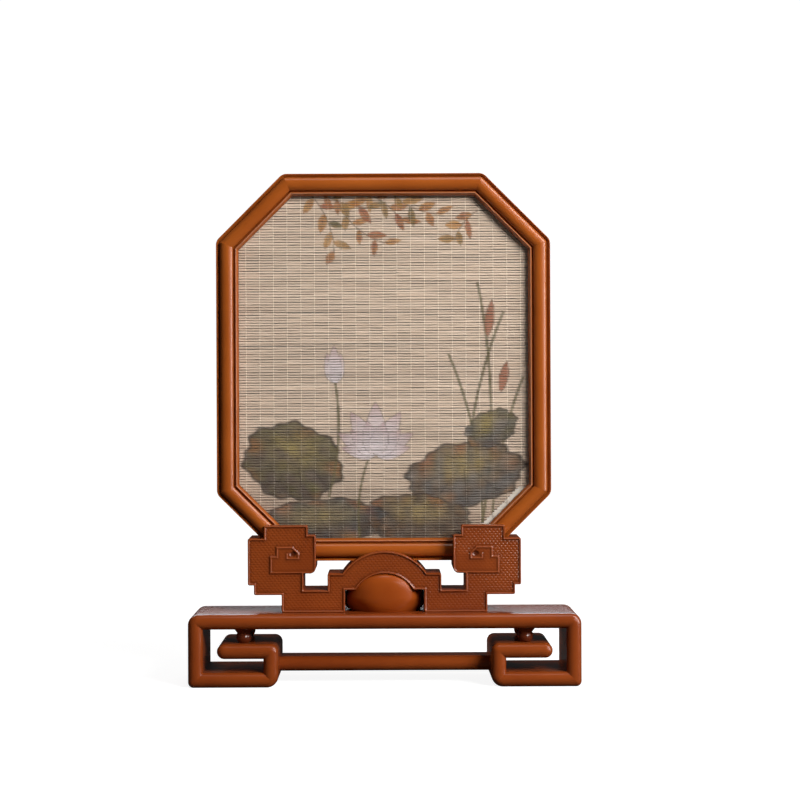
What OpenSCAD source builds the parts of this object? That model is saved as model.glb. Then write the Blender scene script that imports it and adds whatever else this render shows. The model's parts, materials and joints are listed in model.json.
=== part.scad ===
// Table screen: an eight-sided bamboo panel in a moulded frame that lifts out of a fret-scroll stand.
// +X is to the viewer's right, +Y is away from the viewer and +Z is up.
// The origin is on the table, under the middle of the stand. Lengths are in millimetres.

/* [Screen frame] */
// Width of the eight-sided frame
frame_w = 205; // [198:1:240]
// Height of the eight-sided frame
frame_h = 237.4; // [200:0.2:280]
// Leg of the frame's cut corners
frame_cut = 41; // [38:0.5:44]
// Easing of the frame's outer corners
frame_corner_r = 6.5; // [4:0.1:8]
// Thickness of the frame from front to back
frame_t = 15; // [14:0.1:18]
// Thickness of the frame below its mouldings
ground_t = 10.6; // [10:0.1:11]
// Width of the fine bead along the outer edge
outer_bead_w = 1.4; // [1:0.1:2]
// Width of the groove inside the outer bead
groove_w = 1.1; // [0.6:0.1:1.6]
// Width of the main half-round moulding
torus_w = 8; // [7:0.1:8.6]
// Width of the quirk between the half-round and the sight bead
quirk_w = 0.9; // [0.5:0.1:1.4]
// Width of the bead along the sight edge
sight_bead_w = 2.3; // [1.6:0.1:3]
// How far the sight bead's middle stands above the ground
sight_bead_lift = 0.6; // [0.2:0.1:1]
// Width of the rebate behind the sight edge
rebate_w = 4; // [3.6:0.1:5]
// Depth of the rebate from the back of the frame
rebate_d = 7.8; // [7.6:0.1:8.4]

/* [Frame splines] */
// Thickness of the splines in the frame's mitres
spline_t = 3; // [2:0.1:4]
// Length of the splines across the mitres
spline_l = 8; // [6:0.5:9]
// Width of the splines along the mitres
spline_w = 4.4; // [3:0.1:5]
// Distance of a spline's middle from its corner, along the mitre
spline_in = 5.8; // [5.4:0.1:6.2]
// Distance of the splines from the back of the frame
spline_back = 3; // [2.8:0.1:5]

/* [Bamboo panel] */
// Pitch of the bamboo slats
slat_pitch = 1.6; // [1.3:0.02:3]
// Gap between neighbouring slats
slat_gap = 0.2; // [0.1:0.02:0.4]
// Thickness of a slat
slat_t = 0.9; // [0.6:0.05:1]
// Chamfer along the front edges of a slat
slat_chamfer = 0.25; // [0.1:0.05:0.4]
// Pitch of the binding threads
thread_pitch = 8.45; // [6:0.05:14]
// Width of a binding thread
thread_w = 0.5; // [0.3:0.05:0.8]
// Thickness of a binding thread
thread_t = 0.3; // [0.2:0.05:0.4]
// Thickness of the lining paper
lining_t = 0.2; // [0.1:0.05:0.3]
// Thickness of the backing board
backing_t = 3; // [2:0.1:3.2]

/* [Slips behind the panel] */
// Width of the slips
slip_w = 3.6; // [2.8:0.1:4]
// Thickness of the slips
slip_t = 3; // [2:0.1:3.3]
// Diameter of the brads through the slips
brad_dia = 1; // [0.6:0.1:1.4]
// Length of the brads
brad_l = 7.5; // [6:0.1:8]
// Distance of the outer brads from the ends of a slip
brad_end = 14; // [10:0.5:18]

/* [Apron brackets] */
// Thickness of each carved face board
face_t = 8.7; // [7:0.1:12]
// How far a bracket reaches out past the frame's lower corner
bracket_reach_out = 21.5; // [18:0.1:25]
// How far a bracket's wall reaches in from the frame's lower corner
bracket_reach_in = 12.3; // [11:0.1:14]
// How far the volute reaches in from the frame's lower corner
volute_reach_in = 19.8; // [18:0.1:21]
// How far the top block reaches in from the frame's lower corner
block_reach_in = 14.9; // [13:0.1:17]
// How far the top block reaches out from the frame's lower corner
block_reach_out = 11.7; // [9:0.1:14]
// How far the foot reaches out from the frame's lower corner
foot_reach_out = 1; // [-3:0.1:5]
// Height of the top block above the base
block_top = 52.8; // [50:0.1:60]
// Height of the outer shoulder above the base
shoulder_outer = 44.9; // [42:0.1:46.5]
// Height of the inner shoulder above the base
shoulder_inner = 47; // [45:0.1:49]
// Height of the volute's underside above the base
volute_bottom = 23.6; // [22:0.1:25]
// Rounding of the volute's lower corner
volute_r = 3.5; // [2:0.1:6]
// Height of the outer heel above the base
heel_z = 16.5; // [15:0.1:19]
// How far the lower step lies inside the outer heel
heel_step = 3.7; // [2:0.1:6]
// Height of the lower step's underside above the base
step_z = 10.6; // [8:0.1:12]
// Height of the valley floor above the base
valley_z = 13.4; // [12.6:0.1:15]
// Easing of the apron's corners
apron_corner_r = 1; // [0.3:0.1:1.2]

/* [Apron arch] */
// Half width of the opening under the arch
opening_half_w = 24; // [23.6:0.1:26]
// Height of the step in the opening's sides
opening_step_z = 13.5; // [12:0.1:14]
// Half width of the arched part of the opening
arch_half_w = 17.4; // [16:0.1:19]
// How far the pebble's top lies above the opening's crown, behind it
pebble_tuck = 2.5; // [2.2:0.1:3]
// Half width over the arch's shoulders
hood_out = 34.6; // [32:0.1:36]
// Half width of the hood's curve where it meets its shoulders
hood_half_w = 25.8; // [24:0.1:28]
// Height of the arch's shoulders
hood_shoulder = 23.5; // [20:0.1:25]
// Height of the hood's crown above the opening's crown
hood_band = 13.6; // [12:0.1:15]

/* [Carved lines] */
// Width of the raised rim and of the fret lines
rim_w = 1.2; // [0.8:0.1:1.6]
// Relief of the raised rim and of the fret lines
rim_h = 0.8; // [0.3:0.1:1.2]
// How far the fret's first riser lies outside the frame's lower corner
fret_out = 7.5; // [6:0.1:9]
// How far the fret's second riser lies outside the frame's lower corner
fret_mid = 3.6; // [2.5:0.1:4.5]
// How far the end of the fret's top lies inside the frame's lower corner
fret_in = 5.5; // [4.5:0.1:6]
// How far the fret's fall lies inside the frame's lower corner
fret_eye = 9.1; // [8.5:0.1:10]
// How far the tip of the fret's hook lies inside the frame's lower corner
fret_hook = 2.3; // [1.5:0.1:3]
// Rise of the fret's first step above the volute's underside
fret_low = 9.9; // [9:0.1:10.5]
// Rise of the fret's top above the volute's underside
fret_top = 15.7; // [15:0.1:17]
// Rise of the head of the fret's fall, and of the hook's tip, above the volute's underside
fret_head = 12.3; // [12:0.1:12.8]
// Rise of the floor of the fret's hook above the volute's underside
fret_floor = 9.1; // [8.2:0.1:9.6]

/* [Apron tenons] */
// Width of the tenons under the apron
core_tenon_w = 14; // [10:0.5:18]
// Thickness of the tenons under the apron
core_tenon_t = 9; // [6:0.5:12]
// Length of the tenons under the apron
core_tenon_l = 6.5; // [4:0.1:7.5]

/* [Pebble] */
// Gap between the oval pebble's ends and the sides of the opening
pebble_side_gap = 0.8; // [0.5:0.1:3]
// Depth of the pebble over its crowned faces
pebble_d = 36; // [34:0.1:40]
// How much wider and higher the crown's curve is than the pebble
pebble_spread = 1.3; // [1.2:0.01:1.6]
// Clearance between the pebble and the face boards
pebble_clearance = 0.3; // [0.2:0.05:0.6]
// Height of the pebble before its seat is cut flat
pebble_h = 32.7; // [28:0.1:33]
// Height of the pebble's widest part above its seat
pebble_middle = 9.55; // [9:0.05:9.6]
// Room round the pebble inside the apron
pebble_room = 1; // [0.5:0.1:1.2]
// Height of the apron's core between the pebble's room and the frame
core_web = 3.3; // [3:0.1:4]
// Diameter of the pebble's dowel
dowel_dia = 5; // [4:0.1:6]
// Length of the dowel in the pebble, and again in the base
dowel_half_l = 5.5; // [4:0.1:6.5]

/* [Base] */
// How far the base reaches past the apron at each end
base_overhang = 35.5; // [30:0.5:45]
// Depth of the base planks
base_d = 60; // [54:1:80]
// Thickness of the base planks
plank_t = 9; // [8.5:0.1:11]
// Clear gap between a foot and the curl over it
curl_gap = 8.2; // [7:0.1:11]
// Clear gap between a curl's free end and its leg
curl_end_gap = 8.4; // [6:0.1:12]
// Width of a scroll foot over its outer faces
scroll_w = 54.4; // [48:0.1:62]
// Rounding of the corners at the ends of the base top
top_corner_r = 6.3; // [3:0.1:8]
// Rounding of the corners under the legs
toe_r = 3.3; // [2:0.1:6]
// Rounding of the corners under the risers
heel_r = 7; // [3:0.1:8]
// Rounding of the corners over the risers
elbow_r = 4.7; // [2:0.1:8]

/* [Beads and stretcher] */
// Height of the bead struts, which is the gap between a curl and the base top
bead_h = 8.8; // [7:0.1:10]
// Diameter of the bead struts
bead_dia = 9.3; // [7:0.1:11]
// Diameter of the collar at the top of a bead
bead_collar_dia = 12.4; // [10:0.1:14]
// Height of a bead's widest part above its underside
bead_belly = 3.6; // [2.5:0.1:4.5]
// Distance of a bead's middle from the outer face of its leg
bead_in = 33.2; // [28:0.1:40]
// Distance of the front and back beads from the middle of the base
bead_y = 18; // [12:0.5:20]
// Diameter of the pegs at the ends of a bead
bead_peg_dia = 4; // [3:0.1:5]
// Length of the pegs at the ends of a bead
bead_peg_l = 4; // [3:0.1:5]
// Height of the stretcher bar
stretcher_h = 9; // [7:0.1:10]
// Depth of the stretcher bar
stretcher_d = 24; // [18:0.5:40]
// Height of the stretcher's underside above the table
stretcher_z = 7.6; // [5:0.1:9]
// Height of the stretcher's tenons
stretcher_tenon_h = 4.5; // [3:0.1:6]
// Depth of the stretcher's tenons
stretcher_tenon_d = 13; // [8:0.5:15]
// Length of the stretcher's tenons
stretcher_tenon_l = 5; // [3:0.1:6]

/* [Mitre keys] */
// Thickness of the keys in the mitres of the base
key_t = 2; // [1:0.1:2.5]
// Length of the keys across the mitres
key_l = 6; // [4:0.1:7]
// Distance of the keys from the front and back of the planks
key_inset = 10; // [6:0.5:18]

/* [Fits] */
// Clearance of the frame in its slot, at the front and at the back
slot_clearance = 0.3; // [0.2:0.05:0.6]
// Clearance under the frame where it rests in the stand
seat_clearance = 0.2; // [0.1:0.05:0.5]
// Clearance round glued keys, splines, tenons and dowels
glue_clearance = 0.1; // [0.05:0.01:0.2]
// Clearance round the panel in the frame's rebate
panel_clearance = 0.3; // [0.2:0.05:0.6]

/* [Hidden] */
$fn = 64;
SIDES = ["left", "right"];
STICKS = [
    "frame_top_rail", "frame_top_right_corner", "frame_right_stile", "frame_bottom_right_corner",
    "frame_bottom_rail", "frame_bottom_left_corner", "frame_left_stile", "frame_top_left_corner"
];
SLIPS = [
    "slip_top", "slip_top_right", "slip_right", "slip_bottom_right",
    "slip_bottom", "slip_bottom_left", "slip_left", "slip_top_left"
];
PAIRS = ["leg", "foot", "riser", "curl", "bead"];

LACQUER = "#8a4a1c";
BARE_WOOD = "#b98a5a";
BAMBOO = "#cdb394";
THREAD = "#e6d9c2";
PAPER = "#d8d0c4";
STEEL = "#9a9a98";

// Frame: sticks are drawn in from the outer edge, and up from the back of the frame.
rail_w = outer_bead_w + groove_w + torus_w + quirk_w + sight_bead_w;
rebate_in = rail_w - rebate_w;
cut_inset = 2 - sqrt(2);
mitre_slope = tan(22.5);
corner_x = frame_w / 2 - frame_cut;

// Panel: the threads touch the lip of the rebate, and the other layers lie behind them.
panel_in = rebate_in + panel_clearance;
slat_front = rebate_d - thread_t;
slat_back = slat_front - slat_t;
backing_front = slat_back - lining_t;
backing_back = backing_front - backing_t;
panel_half_w = frame_w / 2 - panel_in;
panel_half_h = frame_h / 2 - panel_in;
panel_span = panel_half_w + panel_half_h - (frame_cut - panel_in * cut_inset);
slat_h = slat_pitch - slat_gap;
slat_count = floor((2 * panel_half_h + slat_gap) / slat_pitch);
threads_a_side = floor((panel_half_w - thread_w / 2) / thread_pitch);

// Apron: distances from the middle of the stand, for the right-hand bracket.
slot_w = frame_t + 2 * slot_clearance;
apron_d = slot_w + 2 * face_t;
bracket_out = corner_x + bracket_reach_out;
bracket_in = corner_x - bracket_reach_in;
volute_in = corner_x - volute_reach_in;
block_in = corner_x - block_reach_in;
block_out = corner_x + block_reach_out;
foot_out = corner_x + foot_reach_out;
core_tenon_x = (opening_half_w + foot_out) / 2;
pebble_w = 2 * (opening_half_w - pebble_side_gap);
pebble_top = pebble_middle + pebble_h / 2;
arch_crown = pebble_top - pebble_tuck;
hood_crown = arch_crown + hood_band;
hood_r = arc_radius(hood_half_w, hood_crown - hood_shoulder);
frame_lift = pebble_top + pebble_room + core_web + seat_clearance;

// Base: heights, and the places of the right-hand scroll's planks.
scroll_h = 2 * plank_t + curl_gap;
base_h = scroll_h + bead_h + plank_t;
leg_x = bracket_out + base_overhang;
riser_x = leg_x - scroll_w;
curl_x = leg_x - plank_t - curl_end_gap;
frame_z = base_h + frame_lift + frame_h / 2;
// Middle of each mitre of the base, and the direction of its key.
mitres = [
    [leg_x - plank_t / 2, base_h - plank_t / 2, -45],
    [leg_x - plank_t / 2, plank_t / 2, 45],
    [riser_x + plank_t / 2, plank_t / 2, -45],
    [riser_x + plank_t / 2, scroll_h - plank_t / 2, 45]
];

function arc_radius(half_chord, rise) = (half_chord * half_chord + rise * rise) / (2 * rise);
function unit(v) = v / norm(v);

// Draws an outline in the XZ plane and gives it a depth, from its front face at y.
module slab(y, depth) {
    translate([0, y + depth, 0]) rotate([90, 0, 0]) linear_extrude(depth) children();
}

// Draws a section in the YZ plane and runs it along X.
module run_along_x(x, length) {
    translate([x, 0, 0]) rotate([90, 0, 90]) linear_extrude(length) children();
}

// Left and right pieces are mirror images.
module on_side(side) {
    if (side == "left") mirror([1, 0, 0]) children();
    else children();
}

// A rectangle whose two short ends are half-round, centred on its own middle.
module round_ended(length, width) {
    square([length - width, width], center = true);
    for (end = [-1, 1]) translate([end * (length - width) / 2, 0]) circle(d = width);
}

// What rounding takes off a corner at the origin.
module corner_waste(r) {
    difference() {
        square(r);
        translate([r, r]) circle(r);
    }
}

// Base planks

// Every plank of the base is half-round along its front and back edges.
module lying_plank(z) {
    run_along_x(-leg_x, 2 * leg_x) translate([0, z + plank_t / 2]) round_ended(base_d, plank_t);
}

module standing_plank(x) {
    translate([x + plank_t / 2, 0, 0]) linear_extrude(base_h) rotate(90) round_ended(base_d, plank_t);
}

// What rounding takes off the outer corners of the right-hand scroll.
module scroll_waste() {
    translate([leg_x, base_h]) rotate(180) corner_waste(top_corner_r);
    translate([leg_x, 0]) mirror([1, 0]) corner_waste(toe_r);
    translate([riser_x, 0]) corner_waste(heel_r);
    translate([riser_x, scroll_h]) mirror([0, 1]) corner_waste(elbow_r);
}

module scroll_cuts() {
    slab(-base_d, 2 * base_d) scroll_waste();
    mitre_key(glue_clearance);
}

module mitre_key(clearance) {
    half_d = base_d / 2 - key_inset + clearance;
    slab(-half_d, 2 * half_d)
        for (m = mitres) translate([m[0], m[1]]) rotate(m[2])
            square([key_l, key_t] + 2 * [clearance, clearance], center = true);
}

module mitre_keys() {
    color(BARE_WOOD) for (side = SIDES) on_side(side) mitre_key(0);
}

module base_top() {
    color(LACQUER) difference() {
        intersection() {
            lying_plank(base_h - plank_t);
            slab(-base_d, 2 * base_d) polygon([
                [-leg_x, base_h], [leg_x, base_h],
                [leg_x - plank_t, base_h - plank_t], [plank_t - leg_x, base_h - plank_t]
            ]);
        }
        for (side = SIDES) on_side(side) {
            scroll_cuts();
            core_tenon(glue_clearance);
            bead_pegs(glue_clearance);
        }
        dowel(glue_clearance);
    }
}

module leg() {
    color(LACQUER) difference() {
        intersection() {
            standing_plank(leg_x - plank_t);
            slab(-base_d, 2 * base_d) polygon([
                [leg_x, 0], [leg_x, base_h],
                [leg_x - plank_t, base_h - plank_t], [leg_x - plank_t, plank_t]
            ]);
        }
        scroll_cuts();
    }
}

module foot() {
    color(LACQUER) difference() {
        intersection() {
            lying_plank(0);
            slab(-base_d, 2 * base_d) polygon([
                [leg_x, 0], [leg_x - plank_t, plank_t], [riser_x + plank_t, plank_t], [riser_x, 0]
            ]);
        }
        scroll_cuts();
    }
}

module riser() {
    color(LACQUER) difference() {
        intersection() {
            standing_plank(riser_x);
            slab(-base_d, 2 * base_d) polygon([
                [riser_x, 0], [riser_x + plank_t, plank_t],
                [riser_x + plank_t, scroll_h - plank_t], [riser_x, scroll_h]
            ]);
        }
        scroll_cuts();
        stretcher_tenon(glue_clearance);
    }
}

// The curl's free end is half-round, as its front and back edges are.
module curl() {
    length = curl_x - riser_x + plank_t;
    color(LACQUER) difference() {
        intersection() {
            lying_plank(scroll_h - plank_t);
            slab(-base_d, 2 * base_d) intersection() {
                translate([curl_x - length / 2, scroll_h - plank_t / 2]) round_ended(length, plank_t);
                polygon([
                    [riser_x, scroll_h], [curl_x, scroll_h],
                    [curl_x, scroll_h - plank_t], [riser_x + plank_t, scroll_h - plank_t]
                ]);
            }
        }
        scroll_cuts();
        bead_pegs(glue_clearance);
    }
}

// Beads and stretcher

// Sets a piece over the front and the back bead of the right-hand scroll.
module at_beads() {
    for (end = [-1, 1]) translate([leg_x - bead_in, end * bead_y, scroll_h]) children();
}

// The pegs of the beads, which go into the curl and into the base top.
module bead_pegs(clearance) {
    at_beads() translate([0, 0, -bead_peg_l - clearance])
        cylinder(d = bead_peg_dia + 2 * clearance, h = bead_h + 2 * (bead_peg_l + clearance));
}

// Two turned beads that flare to a collar under the base top.
module bead() {
    low = glue_clearance / 2;
    high = bead_h - glue_clearance / 2;
    color(LACQUER) {
        at_beads() {
            intersection() {
                translate([0, 0, bead_belly]) sphere(d = bead_dia);
                translate([-bead_dia, -bead_dia, low]) cube([2 * bead_dia, 2 * bead_dia, high - low]);
            }
            translate([0, 0, bead_belly])
                cylinder(d1 = bead_dia / 2, d2 = bead_collar_dia, h = high - bead_belly);
        }
        bead_pegs(0);
    }
}

module stretcher_tenon(clearance) {
    size = [stretcher_tenon_l, stretcher_tenon_d, stretcher_tenon_h] + 2 * clearance * [1, 1, 1];
    translate([riser_x - clearance, -size.y / 2, stretcher_z + (stretcher_h - size.z) / 2]) cube(size);
}

module stretcher() {
    color(LACQUER) {
        run_along_x(-riser_x, 2 * riser_x)
            translate([0, stretcher_z + stretcher_h / 2]) round_ended(stretcher_d, stretcher_h);
        for (side = SIDES) on_side(side) stretcher_tenon(0);
    }
}

// Apron

module rectangle(x0, z0, x1, z1) {
    translate([x0, z0]) square([x1 - x0, z1 - z0]);
}

// The right-hand bracket: foot, heel, outer body, volute and top block.
module bracket_outline() {
    rectangle(opening_half_w, 0, foot_out, valley_z);
    rectangle(bracket_in, step_z, bracket_out - heel_step, heel_z);
    rectangle(bracket_in, heel_z, bracket_out, shoulder_outer);
    rectangle(block_in, volute_bottom, block_out, block_top);
    difference() {
        rectangle(volute_in, volute_bottom, bracket_in, shoulder_inner);
        translate([volute_in, volute_bottom]) corner_waste(volute_r);
    }
}

// The arch between the brackets: its shoulders and its round hood.
module hood_outline() {
    rectangle(-hood_out, 0, hood_out, hood_shoulder);
    intersection() {
        translate([0, hood_crown - hood_r]) circle(hood_r);
        rectangle(-hood_out, 0, hood_out, hood_crown);
    }
}

// The opening under the arch: straight below its step, and round above it.
module opening_outline(half_w, crown, step_z) {
    r = arc_radius(half_w, crown - step_z);
    rectangle(-opening_half_w, -1, opening_half_w, step_z);
    intersection() {
        translate([0, crown - r]) circle(r);
        rectangle(-half_w, 0, half_w, crown);
    }
}

module apron_outline() {
    offset(r = apron_corner_r, $fn = 32) offset(delta = -apron_corner_r) difference() {
        union() {
            for (turn = [0, 1]) mirror([turn, 0]) bracket_outline();
            hood_outline();
        }
        opening_outline(arch_half_w, arch_crown, opening_step_z);
    }
}

// Half the width of a line at point i of a path, square to the path and mitred at its turns.
function line_side(path, i) =
    let (
        before = unit(path[max(i, 1)] - path[max(i, 1) - 1]),
        after = unit(path[min(i + 1, len(path) - 1)] - path[min(i + 1, len(path) - 1) - 1]),
        across = unit([-before.y - after.y, before.x + after.x])
    )
    across * rim_w / 2 / (across * [-before.y, before.x]);

// The stepped line that coils into the right-hand volute.
module fret_line() {
    path = [
        [bracket_in - rim_w / 2, rim_w / 2], [corner_x + fret_out, rim_w / 2],
        [corner_x + fret_out, fret_low], [corner_x + fret_mid, fret_low],
        [corner_x + fret_mid, fret_top], [corner_x - fret_in, fret_top],
        [corner_x - fret_eye, fret_head], [corner_x - fret_eye, fret_floor],
        [corner_x - fret_hook, fret_floor], [corner_x - fret_hook, fret_head]
    ];
    last = len(path) - 1;
    translate([0, volute_bottom]) polygon([
        for (i = [0 : last]) path[i] + line_side(path, i),
        for (i = [last : -1 : 0]) path[i] - line_side(path, i)
    ]);
}

// A carved face board that looks towards -Y: its field, and the raised rim and fret lines on it.
module face_board() {
    front = -apron_d / 2;
    translate([0, 0, base_h]) {
        slab(front + rim_h, face_t - rim_h) apron_outline();
        slab(front, face_t / 2) difference() {
            apron_outline();
            offset(delta = -rim_w) apron_outline();
        }
        for (turn = [0, 1]) mirror([turn, 0, 0]) slab(front, face_t / 2) fret_line();
    }
}

module apron_front() {
    color(LACQUER) face_board();
}

module apron_back() {
    color(LACQUER) mirror([0, 1, 0]) face_board();
}

module core_tenon(clearance) {
    size = [core_tenon_w, core_tenon_t, core_tenon_l] + clearance * [2, 2, 1];
    translate([core_tenon_x - size.x / 2, -size.y / 2, base_h - size.z])
        cube([size.x, size.y, size.z + valley_z / 2]);
}

// The board between the two faces. The frame's lower sides rest on it, and it clears the pebble.
module apron_core() {
    color(LACQUER) {
        translate([0, 0, base_h]) slab(-slot_w / 2, slot_w) difference() {
            apron_outline();
            translate([0, frame_z - base_h]) difference() {
                polygon(octagon(-seat_clearance));
                for (i = [0 : 7]) corner_easing(i, -seat_clearance, frame_corner_r + seat_clearance);
            }
            opening_outline(opening_half_w, pebble_top + pebble_room, opening_step_z);
        }
        for (side = SIDES) on_side(side) core_tenon(0);
    }
}

// Pebble

module dowel(clearance) {
    half_l = dowel_half_l + clearance;
    translate([0, 0, base_h - half_l]) cylinder(d = dowel_dia + 2 * clearance, h = 2 * half_l);
}

module pebble_dowel() {
    color(BARE_WOOD) dowel(0);
}

// What the front face board takes from the pebble, which passes through its opening.
module pebble_shoulder() {
    gap = pebble_clearance;
    translate([0, 0, base_h]) slab(-pebble_d, pebble_d - slot_w / 2 + gap) difference() {
        rectangle(-pebble_w, -0.5, pebble_w, pebble_h);
        opening_outline(arch_half_w - gap, arch_crown - gap, opening_step_z - gap);
    }
}

// The pebble: an oval wall, and a crowned face to the front and to the back.
module pebble() {
    color(LACQUER) difference() {
        translate([0, 0, base_h + pebble_middle]) intersection() {
            scale([pebble_w / 2, pebble_d, pebble_h / 2]) sphere(1);
            scale([pebble_spread * pebble_w, pebble_d, pebble_spread * pebble_h] / 2) sphere(1);
        }
        for (turn = [0, 1]) mirror([0, turn, 0]) pebble_shoulder();
        translate([-pebble_w, -pebble_d, base_h - pebble_h]) cube([2 * pebble_w, 2 * pebble_d, pebble_h]);
        dowel(glue_clearance);
    }
}

// Frame

// Corners of the frame's outline, moved inwards, clockwise from the left end of the top rail.
function octagon(inset) =
    let (x = frame_w / 2 - inset, z = frame_h / 2 - inset, cut = frame_cut - inset * cut_inset)
    [
        [cut - x, z], [x - cut, z], [x, z - cut], [x, cut - z],
        [x - cut, -z], [cut - x, -z], [-x, cut - z], [-x, z - cut]
    ];

function side_length(i, inset) = norm(octagon(inset)[(i + 1) % 8] - octagon(inset)[i]);

// The waste outside the arc that eases corner i. It spreads from the arc's centre, past the corner.
module corner_easing(i, inset, r) {
    corner = octagon(inset)[i];
    before = octagon(inset)[(i + 7) % 8];
    after = octagon(inset)[(i + 1) % 8];
    outwards = unit(unit(corner - before) + unit(corner - after));
    side = 1.5 * r * [sin(22.5), cos(22.5)];
    translate(corner - outwards * r / cos(22.5)) rotate(atan2(outwards.y, outwards.x) - 90) difference() {
        polygon([[0, 0], [side.x, side.y], [-side.x, side.y]]);
        circle(r);
    }
}

// Sets a stick along side i. In it, x runs along the side from its first corner, y runs inwards
// from the inset, and z runs from the back of the frame to the viewer.
module along_side(i, inset) {
    a = octagon(inset)[i];
    b = octagon(inset)[(i + 1) % 8];
    translate([a.x, frame_t / 2, a.y + frame_z]) rotate([90, 0, 0])
        rotate(atan2(b.y - a.y, b.x - a.x)) mirror([0, 1, 0]) children();
}

// Runs a section along side i and mitres its ends at the frame's corners.
module mitred_stick(i, inset, width) {
    length = side_length(i, inset);
    along_side(i, inset) intersection() {
        rotate([90, 0, 90]) linear_extrude(length) children();
        translate([0, 0, -1]) linear_extrude(frame_t + 2) polygon([
            [0, 0], [length, 0], [length - width * mitre_slope, width], [width * mitre_slope, width]
        ]);
    }
}

// A bead of the given width on a web that stands on the ground, at a distance from the outer edge.
module bead_section(in, width, lift) {
    translate([in, ground_t - 1]) square([width, lift + 1]);
    translate([in + width / 2, ground_t + lift]) circle(d = width);
}

module stick_section() {
    difference() {
        union() {
            square([rail_w, ground_t]);
            bead_section(0, outer_bead_w, 0);
            bead_section(outer_bead_w + groove_w, torus_w, frame_t - torus_w / 2 - ground_t);
            bead_section(rail_w - sight_bead_w, sight_bead_w, sight_bead_lift);
        }
        translate([rebate_in, -1]) square([rebate_w + 1, rebate_d + 1]);
    }
}

// A flat spline across the mitre at corner i.
module spline(i, clearance) {
    corner = octagon(0)[i];
    before = octagon(0)[(i + 7) % 8];
    after = octagon(0)[(i + 1) % 8];
    outwards = unit(unit(corner - before) + unit(corner - after));
    middle = corner - outwards * spline_in;
    size = [spline_w, spline_l, spline_t] + 2 * clearance * [1, 1, 1];
    translate([middle.x, frame_t / 2 - spline_back - spline_t / 2, middle.y + frame_z])
        rotate([90, 0, 0]) rotate(atan2(outwards.y, outwards.x)) cube(size, center = true);
}

module frame_stick(i) {
    color(LACQUER) difference() {
        mitred_stick(i, 0, rail_w) stick_section();
        translate([0, 0, frame_z]) slab(-frame_t / 2 - 1, frame_t + 2) {
            corner_easing(i, 0, frame_corner_r);
            corner_easing((i + 1) % 8, 0, frame_corner_r);
        }
        spline(i, glue_clearance);
        spline((i + 1) % 8, glue_clearance);
        brads(i, glue_clearance / 2);
    }
}

module frame_splines() {
    color(BARE_WOOD) for (i = [0 : 7]) spline(i, 0);
}

// Panel

// A slat lies along X, flat at the back and chamfered along its front edges.
module slat(z) {
    reach = min(panel_half_w, panel_span - abs(z) - slat_h / 2);
    run_along_x(-reach, 2 * reach) translate([frame_t / 2 - slat_back, frame_z + z]) polygon([
        [0, -slat_h / 2], [0, slat_h / 2],
        [slat_chamfer - slat_t, slat_h / 2], [-slat_t, slat_h / 2 - slat_chamfer],
        [-slat_t, slat_chamfer - slat_h / 2], [slat_chamfer - slat_t, -slat_h / 2]
    ]);
}

module bamboo_slats() {
    color(BAMBOO) for (i = [0 : slat_count - 1]) slat((i - (slat_count - 1) / 2) * slat_pitch);
}

module binding_threads() {
    color(THREAD) for (i = [-threads_a_side : threads_a_side]) {
        reach = min(panel_half_h, panel_span - abs(i) * thread_pitch - thread_w / 2);
        translate([i * thread_pitch - thread_w / 2, frame_t / 2 - rebate_d, frame_z - reach])
            cube([thread_w, thread_t, 2 * reach]);
    }
}

// A sheet of the panel's outline, with its back at a height above the back of the frame.
module panel_sheet(back, thickness) {
    translate([0, 0, frame_z]) slab(frame_t / 2 - back - thickness, thickness) polygon(octagon(panel_in));
}

module lining_paper() {
    color(PAPER) panel_sheet(backing_front, lining_t);
}

module backing_board() {
    color(BARE_WOOD) panel_sheet(backing_back, backing_t);
}

// Slips

// Places of the brads along side i: one in a short slip, two in a long one.
function brad_places(i) =
    let (length = side_length(i, rebate_in))
    length < 4 * brad_end ? [length / 2] : [brad_end, length - brad_end];

module brads(i, clearance) {
    along_side(i, rebate_in) for (x = brad_places(i))
        translate([x, slip_w, backing_back - slip_t / 2]) rotate([90, 0, 0])
            translate([0, 0, -clearance])
                cylinder(d = brad_dia + 2 * clearance, h = brad_l + 2 * clearance);
}

module slip(i) {
    color(LACQUER) difference() {
        mitred_stick(i, rebate_in, slip_w) translate([0, backing_back - slip_t]) square([slip_w, slip_t]);
        brads(i, glue_clearance / 2);
    }
}

module slip_brads() {
    color(STEEL) for (i = [0 : 7]) brads(i, 0);
}

base_top();
for (side = SIDES) {
    on_side(side) leg();
    on_side(side) foot();
    on_side(side) riser();
    on_side(side) curl();
    on_side(side) bead();
}
stretcher();
mitre_keys();
apron_front();
apron_core();
apron_back();
pebble();
pebble_dowel();
for (i = [0 : 7]) {
    frame_stick(i);
    slip(i);
}
frame_splines();
bamboo_slats();
binding_threads();
lining_paper();
backing_board();
slip_brads();
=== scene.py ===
# %% [markdown]
# A table screen: an eight-sided frame with a painted bamboo panel, standing in a carved stand.
# The solids come from the CAD model. This lesson dresses them: it adds the pieces whose surface
# the solids leave plain, gives every piece its finish, and sets up the light and the camera.

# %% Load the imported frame
import json
import math

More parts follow.
